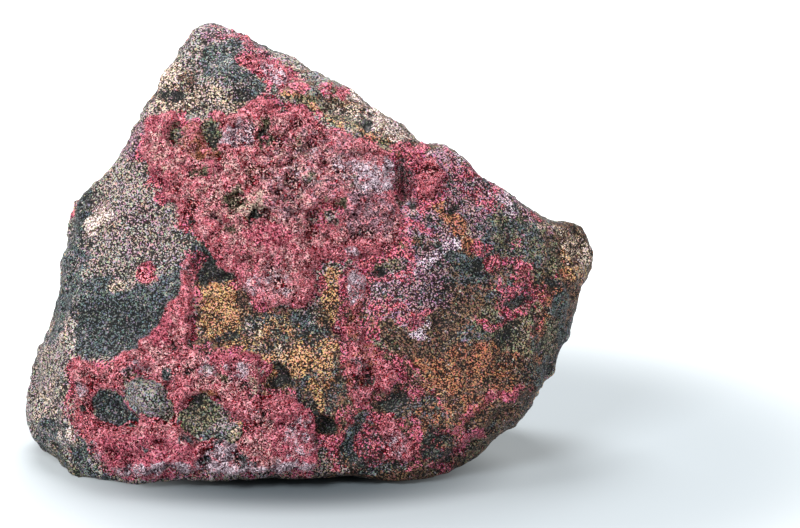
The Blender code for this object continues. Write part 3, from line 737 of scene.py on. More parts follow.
def fine_copy(node: str, name: str, face_size: float, smoothing: int) -> bpy.types.Object:
    """A finely meshed copy of a solid of the frame.

    Args:
        node: The solid's name.
        name: The copy's name.
        face_size: The size of the copy's faces, in metres.
        smoothing: How often the copy is smoothed.

    Returns:
        The copy, without modifiers.
    """
    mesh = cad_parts[node].data.copy()
    mesh.name = name
    mesh.materials.clear()
    merged = bmesh.new()
    merged.from_mesh(mesh)
    bmesh.ops.remove_doubles(merged, verts=merged.verts, dist=SAME_PLACE)
    merged.to_mesh(mesh)
    merged.free()
    for layer in list(mesh.attributes):
        if not layer.is_required and not layer.name.startswith("."):
            mesh.attributes.remove(layer)
    obj = bpy.data.objects.new(name, mesh)
    bpy.context.scene.collection.objects.link(obj)
    cover = obj.modifiers.new("even faces", "REMESH")
    cover.mode = "VOXEL"
    cover.voxel_size = face_size
    soften = obj.modifiers.new("soften", "SMOOTH")
    soften.factor = SMOOTHING_SHARE
    soften.iterations = smoothing
    fine = settled_mesh(obj)
    obj.modifiers.clear()
    obj.data = fine
    fine.name = name
    return obj


@dataclass(frozen=True)
class Swells:
    """Random swells in a material.

    Attributes:
        length: Their length, in metres.
        detail: How many finer layers are on them.
        rough: How strong the finer layers are.
    """

    length: float
    detail: float
    rough: float


@dataclass(frozen=True)
class Patches(Swells):
    """How a coat or a hue lies in patches, which follow swells.

    Attributes:
        swing: How much the swells count.
        speck: How much each grain's own value counts.
        low: The value at which the patches begin.
        high: The value from which on they are full.
        middle: The value where swells and grains are at their middle.
    """

    swing: float
    speck: float
    low: float
    high: float
    middle: float = 0.5


COAT_PATCHES = Patches(0.0011, 4.0, 0.72, 5.0, 0.9, 0.42, 0.60, middle=1.0)
COAT_STEP = 0.0003  # How much longer each further mineral's patches are, in metres.
HEAT_PATCHES = Patches(0.0022, 3.0, 0.6, 4.5, 0.6, 0.36, 0.68)
RUST_PATCHES = Patches(0.0075, 4.0, 0.65, 1.0, 0.3, 0.55, 0.75)

# Where the mix node keeps its sockets for colours, which share their names with those of other types.
MIX_SHARE, MIX_FIRST, MIX_SECOND = 0, 6, 7
MIX_RESULT = 2


class Shade:
    """Builds one material's nodes, a step at a time."""

    def __init__(self, name: str) -> None:
        """Starts a material with this name."""
        self.material = bpy.data.materials.new(name)
        self.material.use_nodes = True
        self.nodes = self.material.node_tree.nodes
        self.links = self.material.node_tree.links
        self.shader = self.nodes["Principled BSDF"]
        self.places = self.nodes.new("ShaderNodeTexCoord").outputs["Object"]

    def feed(self, socket: bpy.types.NodeSocket, value: object) -> None:
        """Links a node's output to a socket, or sets a plain value on it."""
        if isinstance(value, bpy.types.NodeSocket):
            self.links.new(value, socket)
        elif isinstance(value, tuple) and len(value) == 3 and socket.type == "RGBA":
            socket.default_value = (*value, 1.0)
        else:
            socket.default_value = value

    def amount(self, name: str) -> bpy.types.NodeSocket:
        """The value that the mesh keeps under this name."""
        node = self.nodes.new("ShaderNodeAttribute")
        node.attribute_name = name
        return node.outputs["Fac"]

    def sum(self, operation: str, first: object, second: object) -> bpy.types.NodeSocket:
        """One step of arithmetic.

        Args:
            operation: The step, such as ADD.
            first: The first value or output.
            second: The second value or output.

        Returns:
            The result's output.
        """
        node = self.nodes.new("ShaderNodeMath")
        node.operation = operation
        self.feed(node.inputs[0], first)
        self.feed(node.inputs[1], second)
        return node.outputs["Value"]

    def noise(self, swells: Swells) -> bpy.types.NodeSocket:
        """Random swells, as an output from about 0 to 1."""
        node = self.nodes.new("ShaderNodeTexNoise")
        self.links.new(self.places, node.inputs["Vector"])
        node.inputs["Scale"].default_value = 1.0 / swells.length
        node.inputs["Detail"].default_value = swells.detail
        node.inputs["Roughness"].default_value = swells.rough
        return node.outputs["Fac"]

    def spread(self, patches: Patches, speck: bpy.types.NodeSocket) -> bpy.types.NodeSocket:
        """How far each grain is inside the patches.

        Args:
            patches: How the patches lie.
            speck: A random value of each grain.

        Returns:
            The value's output, which the patches' low and high are compared with.
        """
        parts = ((self.noise(patches), patches.swing), (speck, patches.speck))
        return self.total(patches.middle, parts)

    def heat(self, speck: bpy.types.NodeSocket) -> bpy.types.NodeSocket:
        """How hot the pink is: all of it along the rims, and in patches elsewhere.

        Args:
            speck: A random value of each grain.

        Returns:
            An output from 0 to 1.
        """
        inside = self.spread(HEAT_PATCHES, speck)
        patches = self.between(inside, HEAT_PATCHES.low, HEAT_PATCHES.high)
        return self.sum("MAXIMUM", self.amount("rim"), patches)

    def grain_colours(self, width: float) -> bpy.types.NodeSocket:
        """A random colour for each grain of this width, in metres."""
        node = self.nodes.new("ShaderNodeTexVoronoi")
        self.links.new(self.places, node.inputs["Vector"])
        node.inputs["Scale"].default_value = 1.0 / width
        return node.outputs["Color"]

    def motley(self, colour: bpy.types.NodeSocket, width: float, share: float) -> bpy.types.NodeSocket:
        """Gives each grain a slight hue of its own.

        Args:
            colour: The colour of all of them.
            width: The grains' width, in metres.
            share: How much of the hue there is.

        Returns:
            The colour's output.
        """
        return self.mix(share, colour, self.grain_colours(width), "OVERLAY")

    def cells(self, width: float) -> tuple[bpy.types.NodeSocket, ...]:
        """Grains of this width, in metres, that each have three random values of their own."""
        split = self.nodes.new("ShaderNodeSeparateColor")
        self.links.new(self.grain_colours(width), split.inputs["Color"])
        return tuple(split.outputs)

    def total(self, start: float, parts: Iterable[tuple[object, float]]) -> bpy.types.NodeSocket:
        """Adds up outputs that swing about a half.

        Args:
            start: What the sum is when every output is a half.
            parts: Outputs, each with how much it counts.

        Returns:
            The sum's output.
        """
        parts = list(parts)
        value = start - sum(weight for _, weight in parts) / 2
        for output, weight in parts:
            value = self.sum("ADD", self.sum("MULTIPLY", output, weight), value)
        return value

    def ramp(self, value: object, stops: Iterable[tuple[float, Colour]]) -> bpy.types.NodeSocket:
        """Colours along a value.

        Args:
            value: The value or output.
            stops: Places from 0 to 1 with their colours.

        Returns:
            The colour's output.
        """
        node = self.nodes.new("ShaderNodeValToRGB")
        stops = list(stops)
        band = node.color_ramp
        while len(band.elements) < len(stops):
            band.elements.new(1.0)
        for element, (place, colour) in zip(band.elements, stops):
            element.position = place
            element.color = (*colour, 1.0)
        self.feed(node.inputs["Fac"], value)
        return node.outputs["Color"]

    def between(self, value: object, low: float, high: float) -> bpy.types.NodeSocket:
        """Rises softly from 0 where a value is low to 1 where it is high."""
        node = self.nodes.new("ShaderNodeMapRange")
        node.interpolation_type = "SMOOTHSTEP"
        self.feed(node.inputs["Value"], value)
        node.inputs["From Min"].default_value = low
        node.inputs["From Max"].default_value = high
        return node.outputs["Result"]

    def mix(self, share: object, first: object, second: object, blend: str = "MIX") -> bpy.types.NodeSocket:
        """Mixes two colours.

        Args:
            share: How much there is of the second.
            first: The first colour.
            second: The second colour.
            blend: How they mix.

        Returns:
            The colour's output.
        """
        node = self.nodes.new("ShaderNodeMix")
        node.data_type = "RGBA"
        node.blend_type = blend
        self.feed(node.inputs[MIX_SHARE], share)
        self.feed(node.inputs[MIX_FIRST], first)
        self.feed(node.inputs[MIX_SECOND], second)
        return node.outputs[MIX_RESULT]

    def coat(
        self,
        colour: bpy.types.NodeSocket,
        tone: bpy.types.NodeSocket,
        speck: bpy.types.NodeSocket,
        minerals: Iterable[Mineral],
    ) -> bpy.types.NodeSocket:
        """Coats a colour with patchy minerals, each of which covers more where there is more of it.

        Args:
            colour: The colour under them.
            tone: How pale each grain is.
            speck: A random value of each grain.
            minerals: The minerals, from the lowest to the topmost.

        Returns:
            The coated colour.
        """
        for number, mineral in enumerate(minerals):
            patches = replace(COAT_PATCHES, length=COAT_PATCHES.length + COAT_STEP * number)
            thickness = self.sum("MULTIPLY", self.spread(patches, speck), self.amount(mineral.value))
            own = self.ramp(tone, PALETTES[mineral].stops())
            colour = self.mix(self.between(thickness, patches.low, patches.high), colour, own)
        return colour

    def finish(
        self, colour: object, roughness: object, shine: float, height: object, depth: float
    ) -> bpy.types.Material:
        """Puts the parts together.

        Args:
            colour: The base colour.
            roughness: The roughness.
            shine: How strongly it reflects.
            height: The fine relief, from 0 to 1.
            depth: How high the relief is, in metres.

        Returns:
            The material.
        """
        bump = self.nodes.new("ShaderNodeBump")
        bump.inputs["Distance"].default_value = depth
        bump.inputs["Strength"].default_value = 1.0
        self.feed(bump.inputs["Height"], height)
        self.links.new(bump.outputs["Normal"], self.shader.inputs["Normal"])
        self.feed(self.shader.inputs["Base Color"], colour)
        self.feed(self.shader.inputs["Roughness"], roughness)
        self.shader.inputs["Specular IOR Level"].default_value = shine
        return self.material


def light_of(red: int, green: int, blue: int) -> Colour:
    """A colour given as it looks on a screen, 0 to 255, as linear light by the sRGB curve."""
    shares = (value / 255 for value in (red, green, blue))
    return tuple(s / 12.92 if s <= 0.04045 else ((s + 0.055) / 1.055) ** 2.4 for s in shares)


@dataclass(frozen=True)
class Palette:
    """A mineral's colours from its darkest grains to its palest, as they look on a screen."""

    dark: tuple[int, int, int]
    middle: tuple[int, int, int]
    pale: tuple[int, int, int]

    def stops(self) -> list[tuple[float, Colour]]:
        """The colours along the grain, from dark to pale."""
        return [(0.0, light_of(*self.dark)), (0.5, light_of(*self.middle)), (1.0, light_of(*self.pale))]


PALETTES = {
    Mineral.SLATE: Palette((0, 2, 3), (18, 26, 28), (116, 123, 125)),
    Mineral.MAUVE: Palette((26, 3, 8), (92, 54, 62), (206, 162, 176)),
    Mineral.TAN: Palette((26, 12, 4), (132, 104, 84), (248, 224, 205)),
    Mineral.OCHRE: Palette((12, 3, 0), (142, 80, 26), (236, 186, 142)),
    Mineral.LILAC: Palette((60, 36, 48), (158, 130, 144), (255, 236, 246)),
    Mineral.ROSE: Palette((46, 0, 6), (158, 16, 46), (240, 140, 160)),
    Mineral.BLACK: Palette((1, 2, 2), (18, 20, 20), (100, 100, 96)),
    Mineral.OLIVE: Palette((8, 9, 3), (64, 58, 42), (160, 150, 124)),
    Mineral.UMBER: Palette((5, 1, 0), (44, 28, 18), (140, 104, 84)),
    Mineral.CHALK: Palette((94, 70, 63), (188, 159, 150), (253, 238, 231)),
    Mineral.PEBBLE: Palette((12, 10, 9), (56, 53, 51), (166, 161, 159)),
    Mineral.RUST: Palette((18, 3, 0), (110, 50, 22), (206, 140, 106)),
}
GREY_BROWN = Palette((20, 14, 12), (84, 73, 69), (196, 182, 176))
HOT_PINK = Palette((44, 0, 0), (186, 0, 34), (255, 170, 184))
CRIMSON = Palette((26, 2, 2), (150, 36, 46), (255, 210, 206))
DULL_MAGENTA = Palette((70, 24, 36), (132, 70, 84), (188, 132, 142))
BLADE_PINK = Palette((50, 0, 2), (172, 36, 54), (255, 198, 204))


@dataclass(frozen=True)
class Tone:
    """How pale the grains of a surface are.

    Attributes:
        middle: The tone where all that counts is at its middle.
        grit: How much each grain of the grit counts.
        grain: How much the coarser grain counts.
        broad: How much the broad swells count.
        rise: How much the height of the relief counts, as painted shade in hollows and paler crowns.
    """

    middle: float
    grit: float
    grain: float
    broad: float
    rise: float


BLADE_COATS = (
    Mineral.ROSE,
    Mineral.MAUVE,
    Mineral.LILAC,
    Mineral.TAN,
    Mineral.RUST,
    Mineral.OLIVE,
    Mineral.SLATE,
)
CRUST_COATS = (*BLADE_COATS, Mineral.BLACK)
ROCK_COATS = (
    Mineral.UMBER,
    Mineral.MAUVE,
    Mineral.SLATE,
    Mineral.PEBBLE,
    Mineral.OLIVE,
    Mineral.TAN,
    Mineral.OCHRE,
    Mineral.RUST,
    Mineral.LILAC,
    Mineral.CHALK,
    Mineral.ROSE,
    Mineral.BLACK,
)


@dataclass(frozen=True)
class StonyFinish:
    """What the looks of the rock and of the crusts share: grit, coarser grains, coats on them, and painted
    shade from the relief's height.

    Attributes:
        name: The material's name.
        palette: Its own colours.
        grain: The coarser grains.
        broad: The broad swells.
        tone: How pale the grains are.
        hue: How much hue of its own each grain has.
        roughness: The middle roughness.
        shine: How strongly it reflects.
        relief: The height of the grit, in metres.
        fine: The share of that height that comes from the grit, and not from the coarser grains.
        coats: The minerals in and on it, from the lowest to the topmost.
        grit: The width of the grit, in metres.
        hue_width: The width of the grains that have a hue of their own, in metres.
        uneven: How much the roughness varies from grain to grain.
    """

    name: str
    palette: Palette
    grain: Swells
    broad: Swells
    tone: Tone
    hue: float
    roughness: float
    shine: float
    relief: float
    fine: float
    coats: tuple[Mineral, ...]
    grit: float = 0.00023
    hue_width: float = 0.00031
    uneven: float = 0.3

    def under_coats(
        self, shade: Shade, tone: bpy.types.NodeSocket, speck: bpy.types.NodeSocket
    ) -> bpy.types.NodeSocket:
        """The colour under the coats.

        Args:
            shade: The material that gets the nodes.
            tone: How pale each grain is.
            speck: A random value of each grain.

        Returns:
            The colour's output.
        """
        raise NotImplementedError

    def build(self) -> bpy.types.Material:
        """Builds the material."""
        shade = Shade(self.name)
        tone_of_grit, speck, lift = shade.cells(self.grit)
        grain = shade.noise(self.grain)
        parts = (
            (tone_of_grit, self.tone.grit),
            (grain, self.tone.grain),
            (shade.noise(self.broad), self.tone.broad),
            # Painted shade: hollows of the relief are coloured darker and its crowns paler.
            (shade.amount("rise"), self.tone.rise),
        )
        tone = shade.total(self.tone.middle, parts)
        colour = shade.coat(self.under_coats(shade, tone, speck), tone, speck, self.coats)
        colour = shade.motley(colour, self.hue_width, self.hue)
        roughness = shade.total(self.roughness, ((lift, self.uneven),))
        height = shade.total(0.5, ((lift, self.fine), (grain, 1 - self.fine)))
        return shade.finish(colour, roughness, self.shine, height, self.relief)


@dataclass(frozen=True)
class RockFinish(StonyFinish):
    """The look of the host rock: gritty grey-brown rock, with minerals in and on it.

    Attributes:
        rust: How much rust the rusty patches have.
    """

    name: str = "host_rock_look"
    palette: Palette = GREY_BROWN
    grain: Swells = Swells(0.0006, 3.0, 0.65)
    broad: Swells = Swells(0.005, 4.0, 0.6)
    tone: Tone = Tone(middle=0.29, grit=2.6, grain=1.9, broad=0.4, rise=0.9)
    hue: float = 0.32
    roughness: float = 0.62
    shine: float = 0.3
    relief: float = 0.00022
    fine: float = 0.5
    coats: tuple[Mineral, ...] = ROCK_COATS
    rust: float = 0.35

    def under_coats(
        self, shade: Shade, tone: bpy.types.NodeSocket, speck: bpy.types.NodeSocket
    ) -> bpy.types.NodeSocket:
        """The rock's own colour, with rusty patches.

        Args:
            shade: The material that gets the nodes.
            tone: How pale each grain is.
            speck: A random value of each grain.

        Returns:
            The colour's output.
        """
        rusty = shade.ramp(tone, PALETTES[Mineral.OCHRE].stops())
        inside = shade.between(shade.spread(RUST_PATCHES, speck), RUST_PATCHES.low, RUST_PATCHES.high)
        share = shade.sum("MULTIPLY", inside, self.rust)
        return shade.mix(share, shade.ramp(tone, self.palette.stops()), rusty)


@dataclass(frozen=True)
class CrustFinish(StonyFinish):
    """The look of an erythrite crust: crimson in its hollows, pale pink on its crowns."""

    grain: Swells = Swells(0.00075, 2.0, 0.6)
    broad: Swells = Swells(0.0042, 3.0, 0.6)
    # Painted shade and highlight: the relief's rise makes hollows darker crimson and crowns paler pink.
    tone: Tone = Tone(middle=0.49, grit=2.9, grain=2.8, broad=0.5, rise=1.2)
    hue: float = 0.12
    roughness: float = 0.6
    shine: float = 0.15
    relief: float = 0.00020
    fine: float = 0.6
    coats: tuple[Mineral, ...] = CRUST_COATS

    def under_coats(
        self, shade: Shade, tone: bpy.types.NodeSocket, speck: bpy.types.NodeSocket
    ) -> bpy.types.NodeSocket:
        """The crust's own colour, with hot pink along its rims and in patches.

        Args:
            shade: The material that gets the nodes.
            tone: How pale each grain is.
            speck: A random value of each grain.

        Returns:
            The colour's output.
        """
        own = shade.ramp(tone, self.palette.stops())
        return shade.mix(shade.heat(speck), own, shade.ramp(tone, HOT_PINK.stops()))


@dataclass(frozen=True)
class BladeFinish:
    """The look of the crystal blades: dark at the root and pale at the tip, as painted shade and highlight,
    and glassy.

    Attributes:
        name: The material's name.
        palette: The colours from root to tip.
        grit: The width of their finest grains, in metres.
        middle: The tone where all that counts is at its middle.
        tip: How much the way from root to tip counts, as painted shade at the root and painted highlight at
            the tip.
        own: How much each spray's own tone counts.
        speck: How much each grain counts.
        rise: How much the height of the relief that they stand on counts, as painted shade in its hollows.
        roughness: The roughness.
        shine: How strongly they reflect.
        relief: The height of their grains, in metres.
        coats: The minerals on them, from the lowest to the topmost.
    """

    name: str = "erythrite_blades"
    palette: Palette = BLADE_PINK
    grit: float = 0.00022
    middle: float = 0.54
    tip: float = 0.6
    own: float = 0.9
    speck: float = 2.2
    rise: float = 0.5
    roughness: float = 0.45
    shine: float = 0.25
    relief: float = 0.00002
    coats: tuple[Mineral, ...] = BLADE_COATS

    def build(self) -> bpy.types.Material:
        """Builds the material."""
        shade = Shade(self.name)
        tone_of_grit, speck, _ = shade.cells(self.grit)
        # Painted shade and highlight: blades are darker at the root and in hollows, paler at the tip.
        parts = (
            (shade.amount("tip"), self.tip),
            (shade.amount("tone"), self.own),
            (tone_of_grit, self.speck),
            (shade.amount("rise"), self.rise),
        )
        along = shade.total(self.middle, parts)
        own = shade.ramp(along, self.palette.stops())
        colour = shade.mix(shade.heat(speck), own, shade.ramp(along, HOT_PINK.stops()))
        colour = shade.coat(colour, along, speck, self.coats)
        return shade.finish(colour, self.roughness, self.shine, tone_of_grit, self.relief)


@dataclass(frozen=True)
class Bulge:
    """A place where the rock's edge bulges, in millimetres in the layout.

    Attributes:
        across: Across of its middle.
        up: Up of its middle.
        reach: How far from its middle it is down to about a third.
        height: Its height, where the rock looks aside.
    """

    across: float
    up: float
    reach: float
    height: float


EDGE_BULGES = (
    Bulge(-55.5, 26, 4.5, 1.7),
    Bulge(-56.5, 13, 6, 1.9),
    Bulge(-26.5, 86.5, 6, 0.8),
    Bulge(-45, 58, 6.5, 1.3),
    Bulge(42.5, 13, 5, 0.9),
    Bulge(56.5, 46, 4.5, 1.0),
    Bulge(53.5, 52, 3.5, 0.9),
    Bulge(54.5, 40, 4, 0.8),
)


@dataclass(frozen=True)
class Relief:
    """One kind of rise on a surface.

    Attributes:
        length: How long its forms are, in millimetres.
        height: How high they are, in millimetres or as a share of another height.
        layers: How many layers of swells there are, each half as long and high as the last.
    """

    length: float
    height: float
    layers: int = 1


@dataclass(frozen=True)
class HiddenStain:
    """A mineral in patches on the sides that the display face doesn't show.

    Attributes:
        length: The length of the swells that the patches follow, in millimetres.
        seed: Which swells these are.
        side: 1 where the patches lie on the swells' crests, -1 where they lie in the troughs.
        low: The height of the swells at which the patches begin.
        high: The height from which on they are full.
        strength: How much of the mineral there is.
        layers: How many layers of swells there are.
    """

    length: float
    seed: Seed
    side: int
    low: float
    high: float
    strength: float
    layers: int = 3

    def amount(self, laid: np.ndarray) -> np.ndarray:
        """How much there is of the mineral at each place of the layout."""
        swells = rough_noise(laid, self.length, self.layers, self.seed)
        return self.strength * eased(self.low, self.high, self.side * swells)


HIDDEN_STAINS = {
    Mineral.SLATE: HiddenStain(26.0, Seed.HIDDEN_SLATE, 1, -0.2, 0.35, 0.75),
    Mineral.TAN: HiddenStain(26.0, Seed.HIDDEN_SLATE, -1, 0.3, 0.8, 0.5),
    Mineral.OCHRE: HiddenStain(15.0, Seed.HIDDEN_RUST, 1, 0.25, 0.75, 0.8),
    Mineral.OLIVE: HiddenStain(15.0, Seed.HIDDEN_RUST, -1, 0.1, 0.6, 0.6),
    Mineral.ROSE: HiddenStain(12.0, Seed.HIDDEN_BLOOM, 1, 0.62, 0.95, 0.8),
}


@dataclass(frozen=True)
class Halo:
    """The pink bloom on the rock round the crusts.

    Attributes:
        full: How near a crust it is full, in millimetres.
        end: How far from a crust it ends, in millimetres.
        wander: How its edge wanders.
        strength: How much of it there is.
        least: The share of it that slate, tan and black places keep.
        cleared: The share of it that is missing in the crusts' bare places.
    """

    full: float = 0.2
    end: float = 2.2
    wander: Relief = Relief(2.2, 1.0, 3)
    strength: float = 0.7
    least: float = 0.25
    cleared: float = 0.8

    def amount(
        self, laid: np.ndarray, away: np.ndarray, painted: dict[Mineral, np.ndarray]
    ) -> np.ndarray:
        """How much bloom there is at each place.

        Args:
            laid: The places in the layout.
            away: How far each is from the crusts, in millimetres.
            painted: How much there is of each mineral.

        Returns:
            One value from 0 to 1 for each place.
        """
        swells = self.wander.height * rough_noise(laid, self.wander.length, self.wander.layers, Seed.HALO)
        near = eased(self.end, self.full, away + swells)
        coated = painted[Mineral.SLATE], painted[Mineral.TAN], painted[Mineral.BLACK]
        plain = np.clip(1 - coated[0] - coated[1] - coated[2], self.least, 1)
        plain *= 1 - self.cleared * CRUST_STAINS.amounts(laid)[Mineral.BARE]
        return self.strength * near * plain


@dataclass(frozen=True)
class Leaves:
    """The thin layers that stand on edge on the left facet.

    Attributes:
        relief: Their length and height.
        across: The direction across the layers, in the layout.
        crowding: How much closer they stand across that direction.
        stretch: How much of their height is left to vary along the facet.
        start: Across at which they begin, in millimetres.
        full: Across from which on they have their full height.
        top: Up at which they end, in millimetres.
        top_full: Up to which they have their full height.
    """

    relief: Relief = Relief(3.2, 0.45)
    across: tuple[float, float, float] = (0.96, 0.2, 0.28)
    crowding: float = 2.6
    stretch: float = 0.22
    start: float = -43.5
    full: float = -46.5
    top: float = 64.0
    top_full: float = 58.0

    def rise(self, laid: np.ndarray) -> np.ndarray:
        """The layers' rise at each place of the layout, in millimetres."""
        layered = laid.copy()
        layered[:, 0] = laid @ np.array(self.across) * self.crowding
        layered[:, 2] *= self.stretch
        facet = eased(self.start, self.full, laid[:, 0]) * eased(self.top, self.top_full, laid[:, 2])
        return smooth_noise(layered, self.relief.length, Seed.LEAVES) * self.relief.height * facet


@dataclass
class HostRock:
    """The block of rock, finely broken, with its stains and painted shade in its hollows.

    Attributes:
        node: The solid that it stands for.
        name: The piece's name.
        face_size: The size of its faces, in metres.
        smoothing: How often its mesh is smoothed before it is roughened.
        stains: Its minerals.
        halo: The pink bloom round the crusts.
        chips: Its broken chips.
        ridges: The ridges between them.
        crumbs: Its rounded crumbs.
        grit: Its fine grit.
        leaves: The thin layers on its left facet.
        pit: How deep its black pits are, in millimetres.
        pebble: How far its pebbles stand proud, in millimetres.
        bulges: Where its edges bulge.
        contrast: How much a millimetre of rise counts in its look, as painted shade in hollows and paler
            crowns.
        ridge_level: The height of the swells, in millimetres, at which the ridges sink in.
        ochre_crumbs: How much higher crumbs are on ochre, in millimetres.
        rose_crumbs: How much higher crumbs are on rose bloom.
        ochre_grit: How much higher grit is on ochre.
        slate_grit: How much lower grit is on slate.
    """

    node: str = "host_rock"
    name: str = "host_rock_surface"
    face_size: float = 0.0006
    smoothing: int = 2
    stains: StainMap = HOST_STAINS
    halo: Halo = Halo()
    chips: Relief = Relief(6.5, 0.5, 4)
    ridges: Relief = Relief(3.6, 0.5, 3)
    crumbs: Relief = Relief(1.5, 0.12)
    grit: Relief = Relief(1.0, 0.20)
    leaves: Leaves = Leaves()
    pit: float = 1.0
    pebble: float = 0.6
    bulges: tuple[Bulge, ...] = EDGE_BULGES
    contrast: float = 0.55
    ridge_level: float = 0.4
    ochre_crumbs: float = 0.55
    rose_crumbs: float = 0.3
    ochre_grit: float = 0.15
    slate_grit: float = 0.06
    piece: bpy.types.Object = field(init=False)
    amounts: dict[Mineral, np.ndarray] = field(init=False)

    def build(self, crusts: BVHTree) -> None:
        """Makes the mesh, roughens it, stains it and dresses it.

        Args:
            crusts: The crusts' solids, which the bloom on the rock thins out from.
        """
        self.piece = fine_copy(self.node, self.name, self.face_size, self.smoothing)
        mesh = self.piece.data
        laid = LAYOUT.lay_out(mesh_places(mesh))
        self.amounts = self.stain(mesh, laid, crusts)
        self.roughen(mesh, laid)
        mesh.materials.append(RockFinish().build())
        mesh.shade_smooth()

    def stain(self, mesh: bpy.types.Mesh, laid: np.ndarray, crusts: BVHTree) -> dict[Mineral, np.ndarray]:
        """Keeps how much of each mineral there is at each vertex.

        Args:
            mesh: The rock's mesh.
            laid: Its vertices in the layout.
            crusts: The crusts' solids.

        Returns:
            The amounts, with those of the sides that the face doesn't show.
        """
        seen = eased(*SEEN_FROM, mesh_normals(mesh) @ LAYOUT.towards_viewer())
        painted = self.stains.amounts(laid)
        away = nearest_distances(crusts, mesh_places(mesh))
        bloom = self.halo.amount(laid, away, painted)
        painted[Mineral.ROSE] = np.maximum(painted[Mineral.ROSE], bloom)
        for mineral in Mineral:
            hidden = HIDDEN_STAINS[mineral].amount(laid) if mineral in HIDDEN_STAINS else 0.0
            painted[mineral] = seen * painted[mineral] + (1 - seen) * hidden
            set_amount(mesh, mineral.value, painted[mineral])
        return painted

    def roughen(self, mesh: bpy.types.Mesh, laid: np.ndarray) -> None:
        """Breaks the surface up into chips, crumbs and grit, and bulges its edges.

        Args:
            mesh: The rock's mesh.
            laid: Its vertices in the layout.
        """
        ochre = self.amounts[Mineral.OCHRE]
        slate = self.amounts[Mineral.SLATE]
        rose = self.amounts[Mineral.ROSE]
        chips = rough_noise(laid, self.chips.length, self.chips.layers, Seed.CHIPS) * self.chips.height
        swells = rough_noise(laid, self.ridges.length, self.ridges.layers, Seed.RIDGES)
        ridges = (self.ridge_level - np.abs(swells)) * self.ridges.height
        crumbs = grains(laid, self.crumbs.length, Seed.CRUMBS)
        crumbs *= self.crumbs.height + self.ochre_crumbs * ochre + self.rose_crumbs * rose
        grit = smooth_noise(laid, self.grit.length, Seed.GRIT)
        grit *= self.grit.height + self.ochre_grit * ochre - self.slate_grit * slate
        rise = chips + ridges + crumbs + grit + self.leaves.rise(laid)
        rise = rise - self.pit * self.amounts[Mineral.BLACK] + self.pebble * self.amounts[Mineral.PEBBLE]
        # Painted shade: the rise is kept for the look, which colours hollows and black pits darker and crowns
        # paler.
        set_amount(mesh, "rise", np.clip(0.5 + self.contrast * (rise - rise.mean()), 0, 1))
        turned = 1 - np.clip(mesh_normals(mesh) @ LAYOUT.towards_viewer(), 0, 1)
        for bulge in self.bulges:
            off = np.hypot(laid[:, 0] - bulge.across, laid[:, 2] - bulge.up) / bulge.reach
            rise = rise + bulge.height * np.exp(-(off**2)) * turned
        push_out(mesh, rise)


def nearest_distances(tree: BVHTree, places: np.ndarray) -> np.ndarray:
    """How far each place is from a surface, in millimetres, up to REACH.

    Args:
        tree: The surface.
        places: The places, in metres.

    Returns:
        One distance for each place.
    """
    found = (tree.find_nearest(Vector(place), REACH * MM)[3] for place in places)
    return np.array([REACH if distance is None else distance / MM for distance in found])


def push_out(mesh: bpy.types.Mesh, rise: np.ndarray) -> None:
    """Moves each vertex outward, but none through the resting plane.

    Args:
        mesh: The mesh.
        rise: How far each vertex moves, in millimetres.
    """
    places = mesh_places(mesh)
    rise = rise * eased(0.0, FOOT, places[:, 2] / MM)
    places = places + MM * rise[:, None] * mesh_normals(mesh)
    places[:, 2] = np.maximum(places[:, 2], 0.0)
    set_places(mesh, places)


